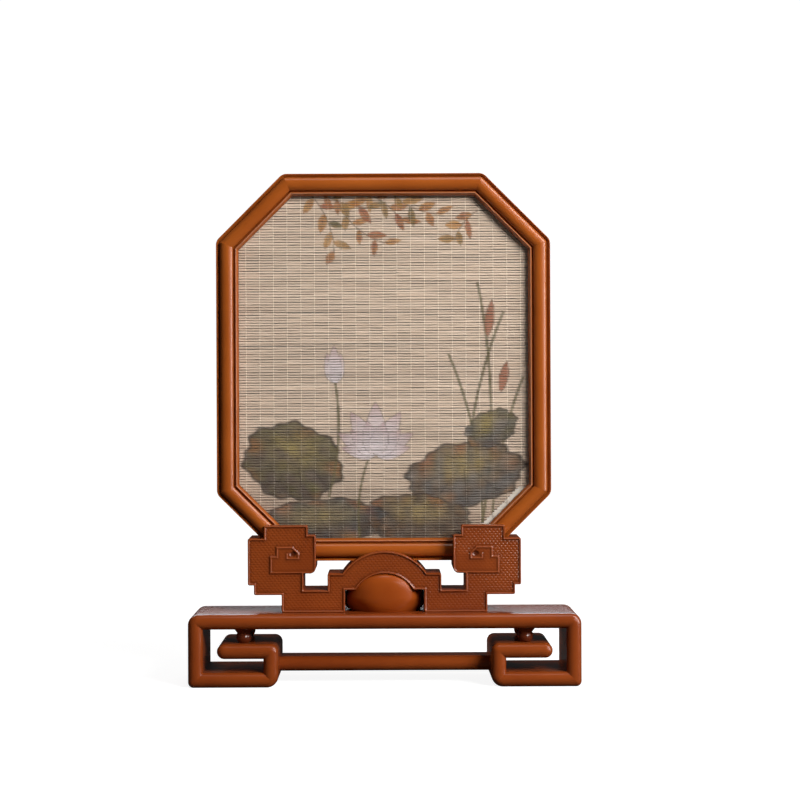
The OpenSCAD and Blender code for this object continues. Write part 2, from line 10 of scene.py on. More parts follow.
import bpy
import numpy as np
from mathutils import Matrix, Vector

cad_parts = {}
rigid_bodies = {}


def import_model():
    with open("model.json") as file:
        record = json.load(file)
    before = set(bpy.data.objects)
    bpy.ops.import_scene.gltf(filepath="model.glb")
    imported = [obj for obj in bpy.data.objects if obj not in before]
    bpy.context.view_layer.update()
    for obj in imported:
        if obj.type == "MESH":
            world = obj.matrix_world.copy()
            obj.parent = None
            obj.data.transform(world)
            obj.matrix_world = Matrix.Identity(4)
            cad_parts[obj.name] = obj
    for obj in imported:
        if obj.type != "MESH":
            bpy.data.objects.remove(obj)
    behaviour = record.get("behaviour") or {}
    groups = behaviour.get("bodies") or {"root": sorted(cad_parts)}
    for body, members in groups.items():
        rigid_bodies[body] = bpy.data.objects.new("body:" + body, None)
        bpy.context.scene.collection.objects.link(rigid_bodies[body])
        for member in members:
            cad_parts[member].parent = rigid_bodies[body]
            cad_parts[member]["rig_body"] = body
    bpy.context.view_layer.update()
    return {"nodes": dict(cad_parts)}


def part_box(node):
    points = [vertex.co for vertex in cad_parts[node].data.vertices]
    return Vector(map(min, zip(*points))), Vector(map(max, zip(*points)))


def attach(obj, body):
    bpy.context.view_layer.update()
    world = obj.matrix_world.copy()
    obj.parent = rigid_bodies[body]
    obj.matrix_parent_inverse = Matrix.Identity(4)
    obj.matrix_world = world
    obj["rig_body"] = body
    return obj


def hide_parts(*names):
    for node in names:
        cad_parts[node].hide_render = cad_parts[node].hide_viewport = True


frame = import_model()
nodes = frame["nodes"]
scene = bpy.context.scene
MM = 0.001
print("nodes in the frame:", len(nodes))

# %% [markdown]
# The camera stands level in front of the screen, a little over a metre away. The lens is long, so
# the frame shows hardly any perspective. A small shift puts the screen left of the middle, and a
# quarter of a degree of roll matches a camera that was not quite straight.

# %% Camera
camera_data = bpy.data.cameras.new("photo_camera")
camera_data.sensor_width = 36
camera_data.lens = 87.4
camera_data.shift_x = 0.0204
camera_data.shift_y = 0.0025
camera = bpy.data.objects.new("photo_camera", camera_data)
camera.location = (0, -1.195, 0.1716)
camera.rotation_euler = (math.radians(90), math.radians(0.25), 0)
scene.collection.objects.link(camera)
scene.camera = camera
print("camera at", tuple(camera.location))

# %% [markdown]
# A finish is a tree of shader nodes, and the same few moves come back in each one: a node is added
# and its sockets are linked or set, a value is mapped to another range, two colours are mixed, and
# soft noise breaks up an even surface. Each move is a helper, so that a finish reads as a recipe.

# %% Helpers for finishes


def colour(red, green, blue):
    """A screen colour from 0 to 255 as the linear colour that shaders take."""
    parts = np.array([red, green, blue]) / 255
    linear = np.where(parts <= 0.04045, parts / 12.92, ((parts + 0.055) / 1.055) ** 2.4)
    return (*linear.tolist(), 1)


def feed(tree, node, sockets):
    """Links or sets the named sockets of a node, and returns what it puts out."""
    for label, value in sockets.items():
        if isinstance(value, bpy.types.NodeSocket):
            tree.links.new(value, node.inputs[label])
        else:
            node.inputs[label].default_value = value
    return node.outputs


def add_in(tree, kind, sockets=None, **settings):
    """Adds a shader node with its settings and sockets, and returns what it puts out."""
    node = tree.nodes.new(kind)
    for name, value in settings.items():
        setattr(node, name, value)
    return feed(tree, node, sockets or {})


def range_in(tree, value, low, high, to_low, to_high):
    """Maps a value from one range to another."""
    sockets = {"Value": value, "From Min": low, "From Max": high, "To Min": to_low, "To Max": to_high}
    return add_in(tree, "ShaderNodeMapRange", sockets)["Result"]


def mix_in(tree, factor, first, second):
    """Mixes two colours by a factor."""
    return add_in(tree, "ShaderNodeMix", {0: factor, 6: first, 7: second}, data_type="RGBA")[2]


def noise_in(tree, scale, detail, stretch=(1, 1, 1)):
    """A noise texture on Object coordinates, stretched along the axes."""
    place = add_in(tree, "ShaderNodeTexCoord")["Object"]
    mapped = add_in(tree, "ShaderNodeMapping", {"Vector": place, "Scale": stretch})["Vector"]
    sockets = {"Vector": mapped, "Scale": scale, "Detail": detail}
    return add_in(tree, "ShaderNodeTexNoise", sockets)["Fac"]


def bump_in(tree, shader, height, strength, distance):
    """Feeds a height into the shader's normal."""
    sockets = {"Height": height, "Strength": strength, "Distance": distance}
    feed(tree, shader, {"Normal": add_in(tree, "ShaderNodeBump", sockets)["Normal"]})


def attribute_in(tree, name):
    """What a piece's own attribute says at each point."""
    return add_in(tree, "ShaderNodeAttribute", attribute_name=name)


def finish(name, base, roughness):
    """A material, with its node tree and its Principled shader."""
    material = bpy.data.materials.new(name)
    material.use_nodes = True
    tree = material.node_tree
    shader = tree.nodes["Principled BSDF"]
    feed(tree, shader, {"Base Color": base, "Roughness": roughness})
    return material, tree, shader


def wear(piece, material):
    """Gives a piece one material."""
    piece.data.materials.clear()
    piece.data.materials.append(material)


def group_with(name, inputs, outputs):
    """A shader node group with its sockets, and its input and output nodes."""
    group = bpy.data.node_groups.new(name, "ShaderNodeTree")
    for label, kind, value in inputs:
        socket = group.interface.new_socket(label, in_out="INPUT", socket_type=kind)
        socket.default_value = value
    for label, kind in outputs:
        group.interface.new_socket(label, in_out="OUTPUT", socket_type=kind)
    return group, group.nodes.new("NodeGroupInput"), group.nodes.new("NodeGroupOutput")


print("a middle grey is", round(colour(128, 128, 128)[0], 3), "to a shader")

# %% [markdown]
# The studio is a pale floor in front of a white sweep. To the camera the floor glows, so that it
# fades into the white. To the pieces it is much darker, because a bright floor would fill the shade
# under the planks.

# %% Floor
FLOOR_TO_CAMERA = (0.4, 0.4, 0.4, 1)
FLOOR_TO_PIECES = (0.06, 0.06, 0.06, 1)
GLOW_NEAR = 0.9
GLOW_GROWS_FROM, GLOW_FULL_AT = 0.25, 0.8

scene.view_settings.view_transform = "Standard"
bpy.ops.object.select_all(action="DESELECT")
bpy.ops.mesh.primitive_plane_add(size=12, location=(0, 0, 0))
floor = bpy.context.active_object
floor.name = "floor"
floor_finish, tree, shader = finish("pale_floor", FLOOR_TO_CAMERA, 0.9)
seen = add_in(tree, "ShaderNodeLightPath")["Is Camera Ray"]
place = add_in(tree, "ShaderNodeTexCoord")["Object"]
away = add_in(tree, "ShaderNodeVectorMath", {0: place}, operation="LENGTH")["Value"]
glow = range_in(tree, away, GLOW_GROWS_FROM, GLOW_FULL_AT, GLOW_NEAR, 1)
sockets = {
    "Base Color": mix_in(tree, seen, FLOOR_TO_PIECES, FLOOR_TO_CAMERA),
    "Specular IOR Level": 0,
    "Emission Color": (1, 1, 1, 1),
    "Emission Strength": range_in(tree, seen, 0, 1, 0, glow),
}
feed(tree, shader, sockets)
wear(floor, floor_finish)
print("floor finish:", floor_finish.name)

# %% [markdown]
# The main light is a large soft box, high on the camera's right, so each moulding is bright on its
# upper right side and dark on its lower left. A second box helps it from further round, and fills
# open up the left side and the back. Lacquer also needs something to mirror. A tall window stands
# level with the panel on the right and draws the pale lines along the mouldings, a box overhead does
# the same for the rails, and a box behind lays a sheen on the top of the base. Small lamps pick out
# the carving and the beads. Most lamps serve either the wood's own colour or its gloss, so that one
# can be set without the other.

# %% Lamps


def soft_light(name, place, target, size, power, shows):
    """A soft box that looks from a place towards a target. It may serve gloss or shade alone."""
    data = bpy.data.lights.new(name, "AREA")
    data.shape = "RECTANGLE"
    data.size, data.size_y = size
    data.energy = power
    light = bpy.data.objects.new(name, data)
    light.location = place
    light.rotation_euler = (Vector(place) - Vector(target)).to_track_quat("Z", "Y").to_euler()
    light.visible_camera = False
    light.visible_glossy = shows != "shade"
    light.visible_diffuse = shows != "gloss"
    scene.collection.objects.link(light)
    return light


# Each lamp: where it stands, where it looks, its width and height, its power and what it serves.
LAMPS = {
    "key_box": ((0.86, -1.1, 0.86), (0, 0, 0.17), (0.6, 0.6), 25.5, "shade"),
    "side_key": ((1.25, -0.75, 0.75), (0, 0, 0.17), (0.6, 0.6), 8, "shade"),
    "left_fill": ((-0.9, -1.1, 0.3), (0, 0, 0.14), (0.6, 0.6), 0.9, "shade"),
    "top_box": ((0.1, -0.1, 1.3), (0, 0, 0.1), (0.6, 0.4), 2.5, "both"),
    "back_box": ((-0.05, 1.2, 0.55), (0, 0, 0.05), (1.2, 0.3), 6, "gloss"),
    "back_fill": ((-0.7, 1.2, 0.6), (0, 0, 0.14), (0.8, 0.8), 14, "shade"),
    "right_window": ((1.135, -0.2, 0.85), (0, 0, 0.3), (0.3, 1.9), 29, "gloss"),
    "side_gloss": ((1.0, -0.5, 0.6), (0, 0, 0.2), (0.45, 1.3), 7, "gloss"),
    "key_gloss": ((0.87, -0.95, 0.5), (0, 0, 0.17), (0.5, 0.5), 1.5, "gloss"),
    "carving_gloss": ((0.27, -0.34, 0.22), (0.03, 0, 0.07), (0.1, 0.16), 1.6, "gloss"),
    "bead_gloss": ((0.6, -0.9, 0.1), (0, 0, 0.03), (0.4, 0.4), 14, "gloss"),
}
lamps = {name: soft_light(name, *how) for name, how in LAMPS.items()}
lamps["back_box"].data.color = (0.78, 0.92, 1)
print("lamps:", list(lamps))

# %% [markdown]
# The room is what the lacquer mirrors between the lamps. The camera sees it as white. The pieces see
# a dim room that is a little lighter above and behind, so that no side of them turns quite black.

# %% Room
# The side that the room is lighter on, and how far a direction leans to it where the light begins
# and where it is full.
LIGHT_SIDE, LEAN = (0.2, 0.35, 0.9), (0.46, 0.62)
ROOM_COLOUR = (0.97, 0.985, 1, 1)
ROOM_DIM, ROOM_LIGHT, ROOM_TO_CAMERA = 0.02, 0.08, 1.06

world = bpy.data.worlds.new("studio_room")
scene.world = world
world.use_nodes = True
tree = world.node_tree
tree.nodes.clear()
place = add_in(tree, "ShaderNodeTexCoord")["Generated"]
lean = add_in(tree, "ShaderNodeVectorMath", {0: place, 1: LIGHT_SIDE}, operation="DOT_PRODUCT")["Value"]
dim = range_in(tree, lean, *LEAN, ROOM_DIM, ROOM_LIGHT)
seen = add_in(tree, "ShaderNodeLightPath")["Is Camera Ray"]
strength = range_in(tree, seen, 0, 1, dim, ROOM_TO_CAMERA)
room = add_in(tree, "ShaderNodeBackground", {"Color": ROOM_COLOUR, "Strength": strength})
add_in(tree, "ShaderNodeOutputWorld", {"Surface": room["Background"]})
print("room:", world.name)

# %% [markdown]
# Lacquer on hardwood is never one flat colour. It is a little deeper where the coat is thick, and
# its polish changes from place to place. Both come from soft noise in Object coordinates. The same
# effect serves every lacquered piece, so it is a node group with named inputs and outputs. Light is
# also painted into the colour: a dark painted shade in the quirks and hollows, and a pale painted
# highlight along sharp crests. Each carved or moulded piece says by two attributes how much there is
# of both. A piece without them has none.

# %% Lacquer group
CLOUD_SCALE, SPECK_SCALE, RIPPLE_SCALE = 26, 70, 260
# The part of the noise that is used: the narrower it is, the plainer the pattern.
CLOUD_RANGE, SPECK_RANGE = (0.35, 0.65), (0.3, 0.7)

lacquer_group, given, put = group_with(
    "lacquer_tone",
    [
        ("Deep", "NodeSocketColor", colour(120, 52, 20)),
        ("Bright", "NodeSocketColor", colour(150, 72, 28)),
        ("Polished", "NodeSocketFloat", 0.22),
        ("Dull", "NodeSocketFloat", 0.36),
    ],
    [("Color", "NodeSocketColor"), ("Roughness", "NodeSocketFloat"), ("Height", "NodeSocketFloat")],
)
cloud = range_in(lacquer_group, noise_in(lacquer_group, CLOUD_SCALE, 3), *CLOUD_RANGE, 0, 1)
tone = mix_in(lacquer_group, cloud, given.outputs["Deep"], given.outputs["Bright"])
speck = noise_in(lacquer_group, SPECK_SCALE, 3)
gloss = range_in(lacquer_group, speck, *SPECK_RANGE, given.outputs["Polished"], given.outputs["Dull"])
ripple = noise_in(lacquer_group, RIPPLE_SCALE, 1)
feed(lacquer_group, put, {"Color": tone, "Roughness": gloss, "Height": ripple})
print("group:", lacquer_group.name)

# %% Lacquer
# Painted shade for quirks and hollows, and a painted highlight for crests.
PAINTED_SHADE_COLOUR, PAINTED_HIGHLIGHT_COLOUR = colour(66, 24, 8), colour(208, 150, 116)
SHINE, RIPPLE_STRENGTH, RIPPLE_DEPTH = 0.32, 0.02, 0.1 * MM


def lacquer(name, deep, bright, polished, dull):
    """A lacquer finish with its own depth and polish."""
    material, tree, shader = finish(name, bright, dull)
    values = {"Deep": deep, "Bright": bright, "Polished": polished, "Dull": dull}
    tone = add_in(tree, "ShaderNodeGroup", values, node_tree=lacquer_group)
    coat = tone["Color"]
    # Mixes in the painted shade and the painted highlight that the piece's attributes ask for.
    for attribute, shade in (("glaze", PAINTED_SHADE_COLOUR), ("rubbed", PAINTED_HIGHLIGHT_COLOUR)):
        coat = mix_in(tree, attribute_in(tree, attribute)["Fac"], coat, shade)
    feed(tree, shader, {"Base Color": coat, "Roughness": tone["Roughness"], "Specular IOR Level": SHINE})
    bump_in(tree, shader, tone["Height"], RIPPLE_STRENGTH, RIPPLE_DEPTH)
    return material


frame_lacquer = lacquer("frame_lacquer", colour(152, 75, 24), colour(164, 84, 29), 0.215, 0.235)
stand_lacquer = lacquer("stand_lacquer", colour(127, 55, 19), colour(140, 64, 23), 0.22, 0.24)
# The beads lie in shade under the board, and their lacquer is painted darker for it.
bead_lacquer = lacquer("bead_lacquer", colour(84, 34, 16), colour(98, 42, 20), 0.15, 0.22)
# The boss's lacquer is painted lighter than the stand's, as painted light on its face.
boss_lacquer = lacquer("boss_lacquer", colour(146, 65, 19), colour(160, 75, 23), 0.24, 0.27)
for name, node in nodes.items():
    if name.endswith("_bead"):
        wear(node, bead_lacquer)
    elif node["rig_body"] == "stand":
        wear(node, stand_lacquer)
    elif name.startswith(("frame_", "slip_")):
        wear(node, frame_lacquer)
print("lacquers:", [m.name for m in bpy.data.materials if m.name.endswith("lacquer")])

# %% [markdown]
# Several pieces below are shaped by hand in the same few moves: a primitive is added, some of its
# edges or faces are selected by their place, and an operator works on them. The helpers here add a
# primitive with nothing else selected, select by a row of True and False, and set a piece's corners.

# %% Helpers for modelling


def begin(name, add, **how):
    """Adds a primitive with nothing else selected, and names it."""
    bpy.ops.object.select_all(action="DESELECT")
    add(**how)
    piece = bpy.context.active_object
    piece.name = piece.data.name = name
    return piece


def take_up(piece):
    """Makes a piece the only one that is selected."""
    bpy.ops.object.select_all(action="DESELECT")
    piece.select_set(True)
    bpy.context.view_layer.objects.active = piece


def places(piece):
    """The corners of a piece as an array of points."""
    flat = np.empty(len(piece.data.vertices) * 3)
    piece.data.vertices.foreach_get("co", flat)
    return flat.reshape(-1, 3)


def move_to(piece, x, y, z):
    """Puts the corners of a piece at new places."""
    points = np.stack(np.broadcast_arrays(x, y, z), axis=1)
    piece.data.vertices.foreach_set("co", points.ravel())
    piece.data.update()


def edge_ends(piece):
    """The first and the second end of each edge of a piece."""
    bpy.ops.object.mode_set(mode="OBJECT")
    ends = np.empty(len(piece.data.edges) * 2, np.int32)
    piece.data.edges.foreach_get("vertices", ends)
    return places(piece)[ends.reshape(-1, 2)].transpose(1, 0, 2)


def face_corners(piece):
    """The numbers of the four corners of each face of a piece."""
    return np.array([face.vertices[:] for face in piece.data.polygons])


def edit(action, kind="VERT"):
    """Goes to edit mode for one kind of part, and selects or deselects all of a piece."""
    bpy.ops.object.mode_set(mode="EDIT")
    bpy.ops.mesh.select_mode(type=kind)
    bpy.ops.mesh.select_all(action=action)


def select(piece, kind, chosen):
    """Selects the edges or faces that a row of True and False names, and stays in edit mode."""
    edit("DESELECT", kind)
    bpy.ops.object.mode_set(mode="OBJECT")
    parts = piece.data.edges if kind == "EDGE" else piece.data.polygons
    parts.foreach_set("select", chosen)
    bpy.ops.object.mode_set(mode="EDIT")


def draw_up():
    """Extrudes the whole of a flat piece upwards by one."""
    edit("SELECT")
    bpy.ops.mesh.extrude_region_move(TRANSFORM_OT_translate={"value": (0, 0, 1)})
    bpy.ops.object.mode_set(mode="OBJECT")


def face_outwards():
    """Turns all faces of a closed piece outwards."""
    edit("SELECT")
    bpy.ops.mesh.normals_make_consistent(inside=False)
    bpy.ops.object.mode_set(mode="OBJECT")


def heading(start, stop):
    """The direction from one point to another, and how far apart they are."""
    run = np.subtract(stop, start)
    length = np.hypot(*run)
    return run / length, length


def smooth(angle):
    """Shades a piece smooth, apart from edges that are sharper than an angle in degrees."""
    bpy.ops.object.shade_smooth_by_angle(angle=math.radians(angle))


def mirrored(piece, name, flip):
    """A copy of a piece on the other side of the middle, with its own mesh."""
    twin = piece.copy()
    twin.data = piece.data.copy()
    twin.name = twin.data.name = name
    scene.collection.objects.link(twin)
    move_to(twin, *(places(twin) * flip).T)
    take_up(twin)
    face_outwards()
    return twin


def repeat(piece, count, step):
    """Repeats a piece in a row with an Array modifier, and applies it."""
    row = piece.modifiers.new("row", "ARRAY")
    row.use_relative_offset = False
    row.use_constant_offset = True
    row.constant_offset_displace = step
    row.count = count
    row.use_merge_vertices = True
    row.merge_threshold = 1e-6
    bpy.ops.object.modifier_apply(modifier="row")


def mark(piece, attribute, amount):
    """Writes an amount from 0 to 1 at each corner of a piece, for its finish to read."""
    kept = piece.data.attributes.new(attribute, "FLOAT", "POINT")
    kept.data.foreach_set("value", np.clip(amount, 0, 1))


def hand_over(piece, body, slot, material, *replaced):
    """Gives a finished piece its material and its body, and hides the nodes it stands for. The slot is not
    used.
    """
    wear(piece, material)
    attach(piece, body)
    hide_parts(*replaced)
    print(piece.name, "has", len(piece.data.polygons), "faces")


print("corners of the base's board in the CAD model:", len(places(nodes["base_top"])))

# %% [markdown]
# The base is one plank that seems to be bent round into a scroll at each end. It is really nine
# planks, mitred together and then rounded as one: the front and back edges are half-round, the
# outer corners are eased, and the inner corners keep a fine crease along each mitre. A bevel gives
# up where a small corner meets a large rounding, so each plank starts as a grid that is extruded
# to a slab. Its points are then set between the inner and the outer line of the scroll, and the
# rounding follows from each point's distance to those lines.

# %% Outline of the scroll
leg_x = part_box("right_leg")[1].x
riser_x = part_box("right_riser")[0].x
curl_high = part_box("right_curl")[1]
top_low, top_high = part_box("base_top")
PLANK = top_high.z - top_low.z
ROUND = PLANK / 2
TOP_CORNER, TOE, HEEL, ELBOW = 6.3 * MM, 3.3 * MM, 7.0 * MM, 4.7 * MM
# Each plank: its two outer corners on the scroll's outer line, the side that its inner line lies
# on, and the easing of the two corners. A free end has no corner.
scroll = {
    "base_top": ((-leg_x, top_high.z), (leg_x, top_high.z), (0, -1), TOP_CORNER, TOP_CORNER),
    "right_leg": ((leg_x, top_high.z), (leg_x, 0), (-1, 0), TOP_CORNER, TOE),
    "right_foot": ((leg_x, 0), (riser_x, 0), (0, 1), TOE, HEEL),
    "right_riser": ((riser_x, 0), (riser_x, curl_high.z), (1, 0), HEEL, ELBOW),
    "right_curl": ((riser_x, curl_high.z), (curl_high.x, curl_high.z), (0, -1), ELBOW, None),
}
print("planks in a scroll:", len(scroll))

# %% Planks of the base
CUTS_ACROSS, FEWEST_CUTS, MM_A_CUT = 24, 40, 1.6
# How far the cuts crowd towards a plank's ends, and how much of its half turn a free end makes.
CROWDING, TIP_TURN = 0.85, 0.94


def crowded(first, last, count):
    """Distances from first to last, closer together near both ends."""
    t = np.linspace(0, 1, count)
    return first + (last - first) * ((1 - CROWDING) * t + CROWDING * (1 - np.cos(np.pi * t)) / 2)


def plank(name, start, stop, inwards, start_round, stop_round):
    """One mitred plank of the base, rounded along its edges and at its outer corners."""
    along, length = heading(start, stop)
    count = max(FEWEST_CUTS, int(length / MM / MM_A_CUT))
    add = bpy.ops.mesh.primitive_grid_add
    piece = begin(name, add, x_subdivisions=count, y_subdivisions=CUTS_ACROSS, size=1)
    draw_up()
    points = places(piece)
    column = np.rint((points[:, 0] + 0.5) * count).astype(int)
    share = (1 - np.cos(np.pi * (points[:, 1] + 0.5))) / 2
    ends = ((start_round, 1, 0), (stop_round, -1, length))

    def bend_adds(corner):
        """How much a bend adds to the outer line's length. A mitred corner takes some away."""
        radius = corner or ROUND
        return radius * (math.pi / 4 if corner else math.pi / 2 * TIP_TURN) - radius

    def outer_line(run):
        """Points of the outer line, along and inwards, for distances that follow its bends."""
        u, v = run.copy(), np.zeros_like(run)
        for corner, sign, at in ends:
            radius = corner or ROUND
            middle = at + sign * radius
            angle = np.clip((middle - run) * sign / radius, 0, None)
            u = np.where(angle > 0, middle - sign * radius * np.sin(angle), u)
            v = np.where(angle > 0, radius * (1 - np.cos(angle)), v)
        return u, v

    last = length + bend_adds(stop_round)
    outer_u, outer_v = outer_line(crowded(-bend_adds(start_round), last, count + 1))
    inner_u = crowded(PLANK, length - PLANK, count + 1)
    inner_v = np.full_like(inner_u, PLANK)
    if not stop_round:
        inner_u, tip_v = outer_line(crowded(PLANK, last, count + 1))
        inner_v = PLANK - tip_v
    u = outer_u[column] * (1 - share) + inner_u[column] * share
    v = outer_v[column] * (1 - share) + inner_v[column] * share
    to_outer = v
    for corner, sign, at in ends:
        radius = corner or ROUND
        past = (at + sign * radius - u) * sign
        bent = (past > 0) & ((v < radius) | (corner is None))
        to_outer = np.where(bent, radius - np.hypot(past, v - radius), to_outer)
    depth = np.clip(np.minimum(to_outer, PLANK - v) / ROUND, 0, 1)
    half_depth = top_high.y - ROUND + ROUND * np.sqrt(1 - (1 - depth) ** 2)
    x = start[0] + along[0] * u + inwards[0] * v
    z = start[1] + along[1] * u + inwards[1] * v
    move_to(piece, x, np.where(points[:, 2] > 0.5, -half_depth, half_depth), z)
    face_outwards()
    smooth(40)
    return piece


for name, shape in scroll.items():
    piece = plank("scroll_" + name, *shape)
    if name.startswith("right"):
        left = name.replace("right", "left")
        twin = mirrored(piece, "scroll_" + left, (-1, 1, 1))
        hand_over(twin, "stand", "lacquer", stand_lacquer, left)
    hand_over(piece, "stand", "lacquer", stand_lacquer, name)

# %% [markdown]
# The apron's face is carved: a raised bead runs round its outline and coils into each volute, and
# the field between is punched all over with a fine staggered pattern. A fine grid can carry all of
# that as real relief. The cells outside the outline are deleted, the border is drawn onto the
# outline, and the board's edge is extruded back. The outline and the carved lines are read from the
# CAD node, so the carving lies where the solid has it. The solid's hood and arch have facets. They
# are drawn as true arcs here, since a facet shows in the gloss.

# %% Borders of the carved face
ARC_PARTS = 16
# A chord of an arc slants, is longer than this, and has its ends on one ring to within this.
SLANT, CHORD, SAME_RING = 0.1 * MM, 1 * MM, 0.2 * MM


def border(node, depth):
    """The border of a node's flat face at a depth, as pairs of points in X and Z."""
    mesh = nodes[node].data
    mesh.calc_loop_triangles()
    corners = np.array([t.vertices[:] for t in mesh.loop_triangles])
    points = places(nodes[node])
    flat = corners[np.all(np.abs(points[corners][:, :, 1] - depth) < 1e-6, axis=1)]
    keys = np.round(points[:, (0, 2)] * 1e6).astype(int)
    seen = {}
    for corner in flat:
        for a, b in zip(corner, np.roll(corner, -1)):
            edge = tuple(sorted((tuple(keys[a]), tuple(keys[b]))))
            seen[edge] = seen.get(edge, 0) + 1
    return np.array([edge for edge, count in seen.items() if count == 1]) * 1e-6


def rounded(edges, centres):
    """The same edges, with each chord of a ring about one of the centres drawn as an arc."""
    t = np.linspace(0, 1, ARC_PARTS + 1)[:, None]
    drawn = []
    for a, b in edges:
        run = np.abs(b - a)
        way = (a, b)
        for centre in centres:
            near, far = np.hypot(*(a - centre)), np.hypot(*(b - centre))
            if run.min() > SLANT and run.max() > CHORD and abs(near - far) < SAME_RING:
                spokes = a + (b - a) * t - centre
                way = centre + spokes / np.hypot(*spokes.T)[:, None] * (near + (far - near) * t)
        drawn += list(zip(way, way[1:]))
    return np.array(drawn)


def nearest(points, edges):
    """The distance from each point to the nearest edge, and the nearest place on it."""
    best = np.full(len(points), np.inf)
    spot = np.zeros_like(points)
    for a, b in edges:
        run = b - a
        t = np.clip(((points - a) @ run) / max(run @ run, 1e-18), 0, 1)
        here = a + t[:, None] * run
        away = np.hypot(*(points - here).T)
        closer = away < best
        best[closer] = away[closer]
        spot[closer] = here[closer]
    return best, spot


def inside(points, edges):
    """Whether each point lies inside the closed outline that the edges make."""
    odd = np.zeros(len(points), bool)
    for (ax, az), (bx, bz) in edges:
        if az == bz:
            continue
        crosses = (points[:, 1] >= min(az, bz)) & (points[:, 1] < max(az, bz))
        odd ^= crosses & (points[:, 0] < ax + (points[:, 1] - az) * (bx - ax) / (bz - az))
    return odd


apron_low, apron_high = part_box("apron_front")
HOOD_MIDDLE, ARCH_MIDDLE = 5.6 * MM, 3.16 * MM
centres = [(0, middle + apron_low.z) for middle in (HOOD_MIDDLE, ARCH_MIDDLE)]
outline = rounded(border("apron_front", apron_high.y), centres)
carved = rounded(border("apron_front", apron_low.y), centres)
print("outline:", len(outline), "edges, carved lines:", len(carved), "edges")

# %% Board of the apron
CELL = 0.3 * MM
RIM_DEPTH = 0.8 * MM
field_y = apron_low.y + RIM_DEPTH


def select_open_edge(kind):
    """Selects the open border of a piece, and stays in edit mode."""
    edit("DESELECT", kind)
    bpy.ops.mesh.select_non_manifold(
        extend=False, use_wire=False, use_multi_face=False, use_non_contiguous=False, use_verts=False
    )


def open_edge(piece):
    """Which corners of a flat piece lie on its border, and where all its corners are."""
    select_open_edge("VERT")
    bpy.ops.object.mode_set(mode="OBJECT")
    chosen = np.zeros(len(piece.data.vertices), bool)
    piece.data.vertices.foreach_get("select", chosen)
    return chosen, places(piece)[:, (0, 2)]


width, height = apron_high.x - apron_low.x, apron_high.z - apron_low.z
apron = begin(
    "carved_apron_front",
    bpy.ops.mesh.primitive_grid_add,
    x_subdivisions=round(width / CELL),
    y_subdivisions=round(height / CELL),
    size=1,
)
points = places(apron)
x = apron_low.x + (points[:, 0] + 0.5) * width
z = apron_low.z + (points[:, 1] + 0.5) * height
move_to(apron, x, field_y, z)
middles = np.stack([x, z], axis=1)[face_corners(apron)].mean(axis=1)
select(apron, "FACE", ~inside(middles, outline))
bpy.ops.mesh.delete(type="FACE")
# The border is drawn onto the outline. Corners that then lie close together are merged, so that the
# board's edge has no slivers to spoil its shading.
on_border, flat = open_edge(apron)
flat[on_border] = nearest(flat[on_border], outline)[1]
move_to(apron, flat[:, 0], field_y, flat[:, 1])
bpy.ops.object.mode_set(mode="EDIT")
bpy.ops.mesh.remove_doubles(threshold=CELL / 2)
on_border, flat = open_edge(apron)
print("grid kept:", len(apron.data.polygons), "cells, border:", int(on_border.sum()), "points")

# %% Coil of the apron
# In millimetres, from the apron's middle and from the foot of the coil: the stepped end of the coil
# that climbs, and the small pit inside its hook.
COIL_FOOT = 23.6
COIL = [
    (69, 0), (69, 9.9), (65.1, 9.9), (65.1, 15.7), (56, 15.7),
    (52.4, 12.3), (52.4, 22), (41, 22), (41, 0),
]
CLIMB_OUT, CLIMB_DOWN, CLIMB_IN, HOOK_Z = (52, 58), (20, 6), (52.4, 47), 12.3
EYE, EYE_REACH = (55.6, 12.0), (2.2, 1.9)


def step(low, high, value):
    """0 below low, 1 above high, and smooth between."""
    t = np.clip((value - low) / (high - low), 0, 1)
    return t * t * (3 - 2 * t)


def tongue(x, z):
    """How much of its full rise the end of the coil has: it climbs as it turns in over the band."""
    edges = np.array(list(zip(COIL, COIL[1:] + COIL[:1])), float)
    sideways = np.where(z > HOOK_Z, step(*CLIMB_IN, x), 1)
    climb = np.maximum(step(*CLIMB_OUT, x), step(*CLIMB_DOWN, z) * sideways)
    return np.where(inside(np.stack([x, z], axis=1), edges), climb, 0)


coil_x, coil_z = np.abs(flat[:, 0]) / MM, (flat[:, 1] - apron_low.z) / MM - COIL_FOOT
climb = tongue(coil_x, coil_z)
eye = step(1, 0.5, np.hypot((coil_x - EYE[0]) / EYE_REACH[0], (coil_z - EYE[1]) / EYE_REACH[1]))
print("points on the coils' ends:", int((climb > 0).sum()), "and in their pits:", int((eye > 0).sum()))

# %% Relief of the apron
BEAD_HALF, BEAD_RISE, BEAD_FLARE = 0.85 * MM, 1.0 * MM, 0.2 * MM
PUNCH_PITCH, PUNCH_ROW, PUNCH_REACH, PUNCH_RISE = 2.35 * MM, 0.62, 0.46, 0.22 * MM
# The punching keeps clear of the lines, rises over a short way, and is fainter on the coil's end.
PUNCH_CLEAR, PUNCH_FADE, PUNCH_FAINT = 0.25 * MM, 0.35 * MM, 0.7
TONGUE_RISE, EYE_DEPTH = 0.5 * MM, 0.7 * MM
# Painted shade beside the carved lines, between the punched dots and in the pit, and a painted highlight on
# the bead's crest.
LINE_SHADE, LINE_SHADE_REACH, FIELD_SHADE, EYE_SHADE, BEAD_HIGHLIGHT = 0.5, 0.9 * MM, 0.06, 0.7, 0.3

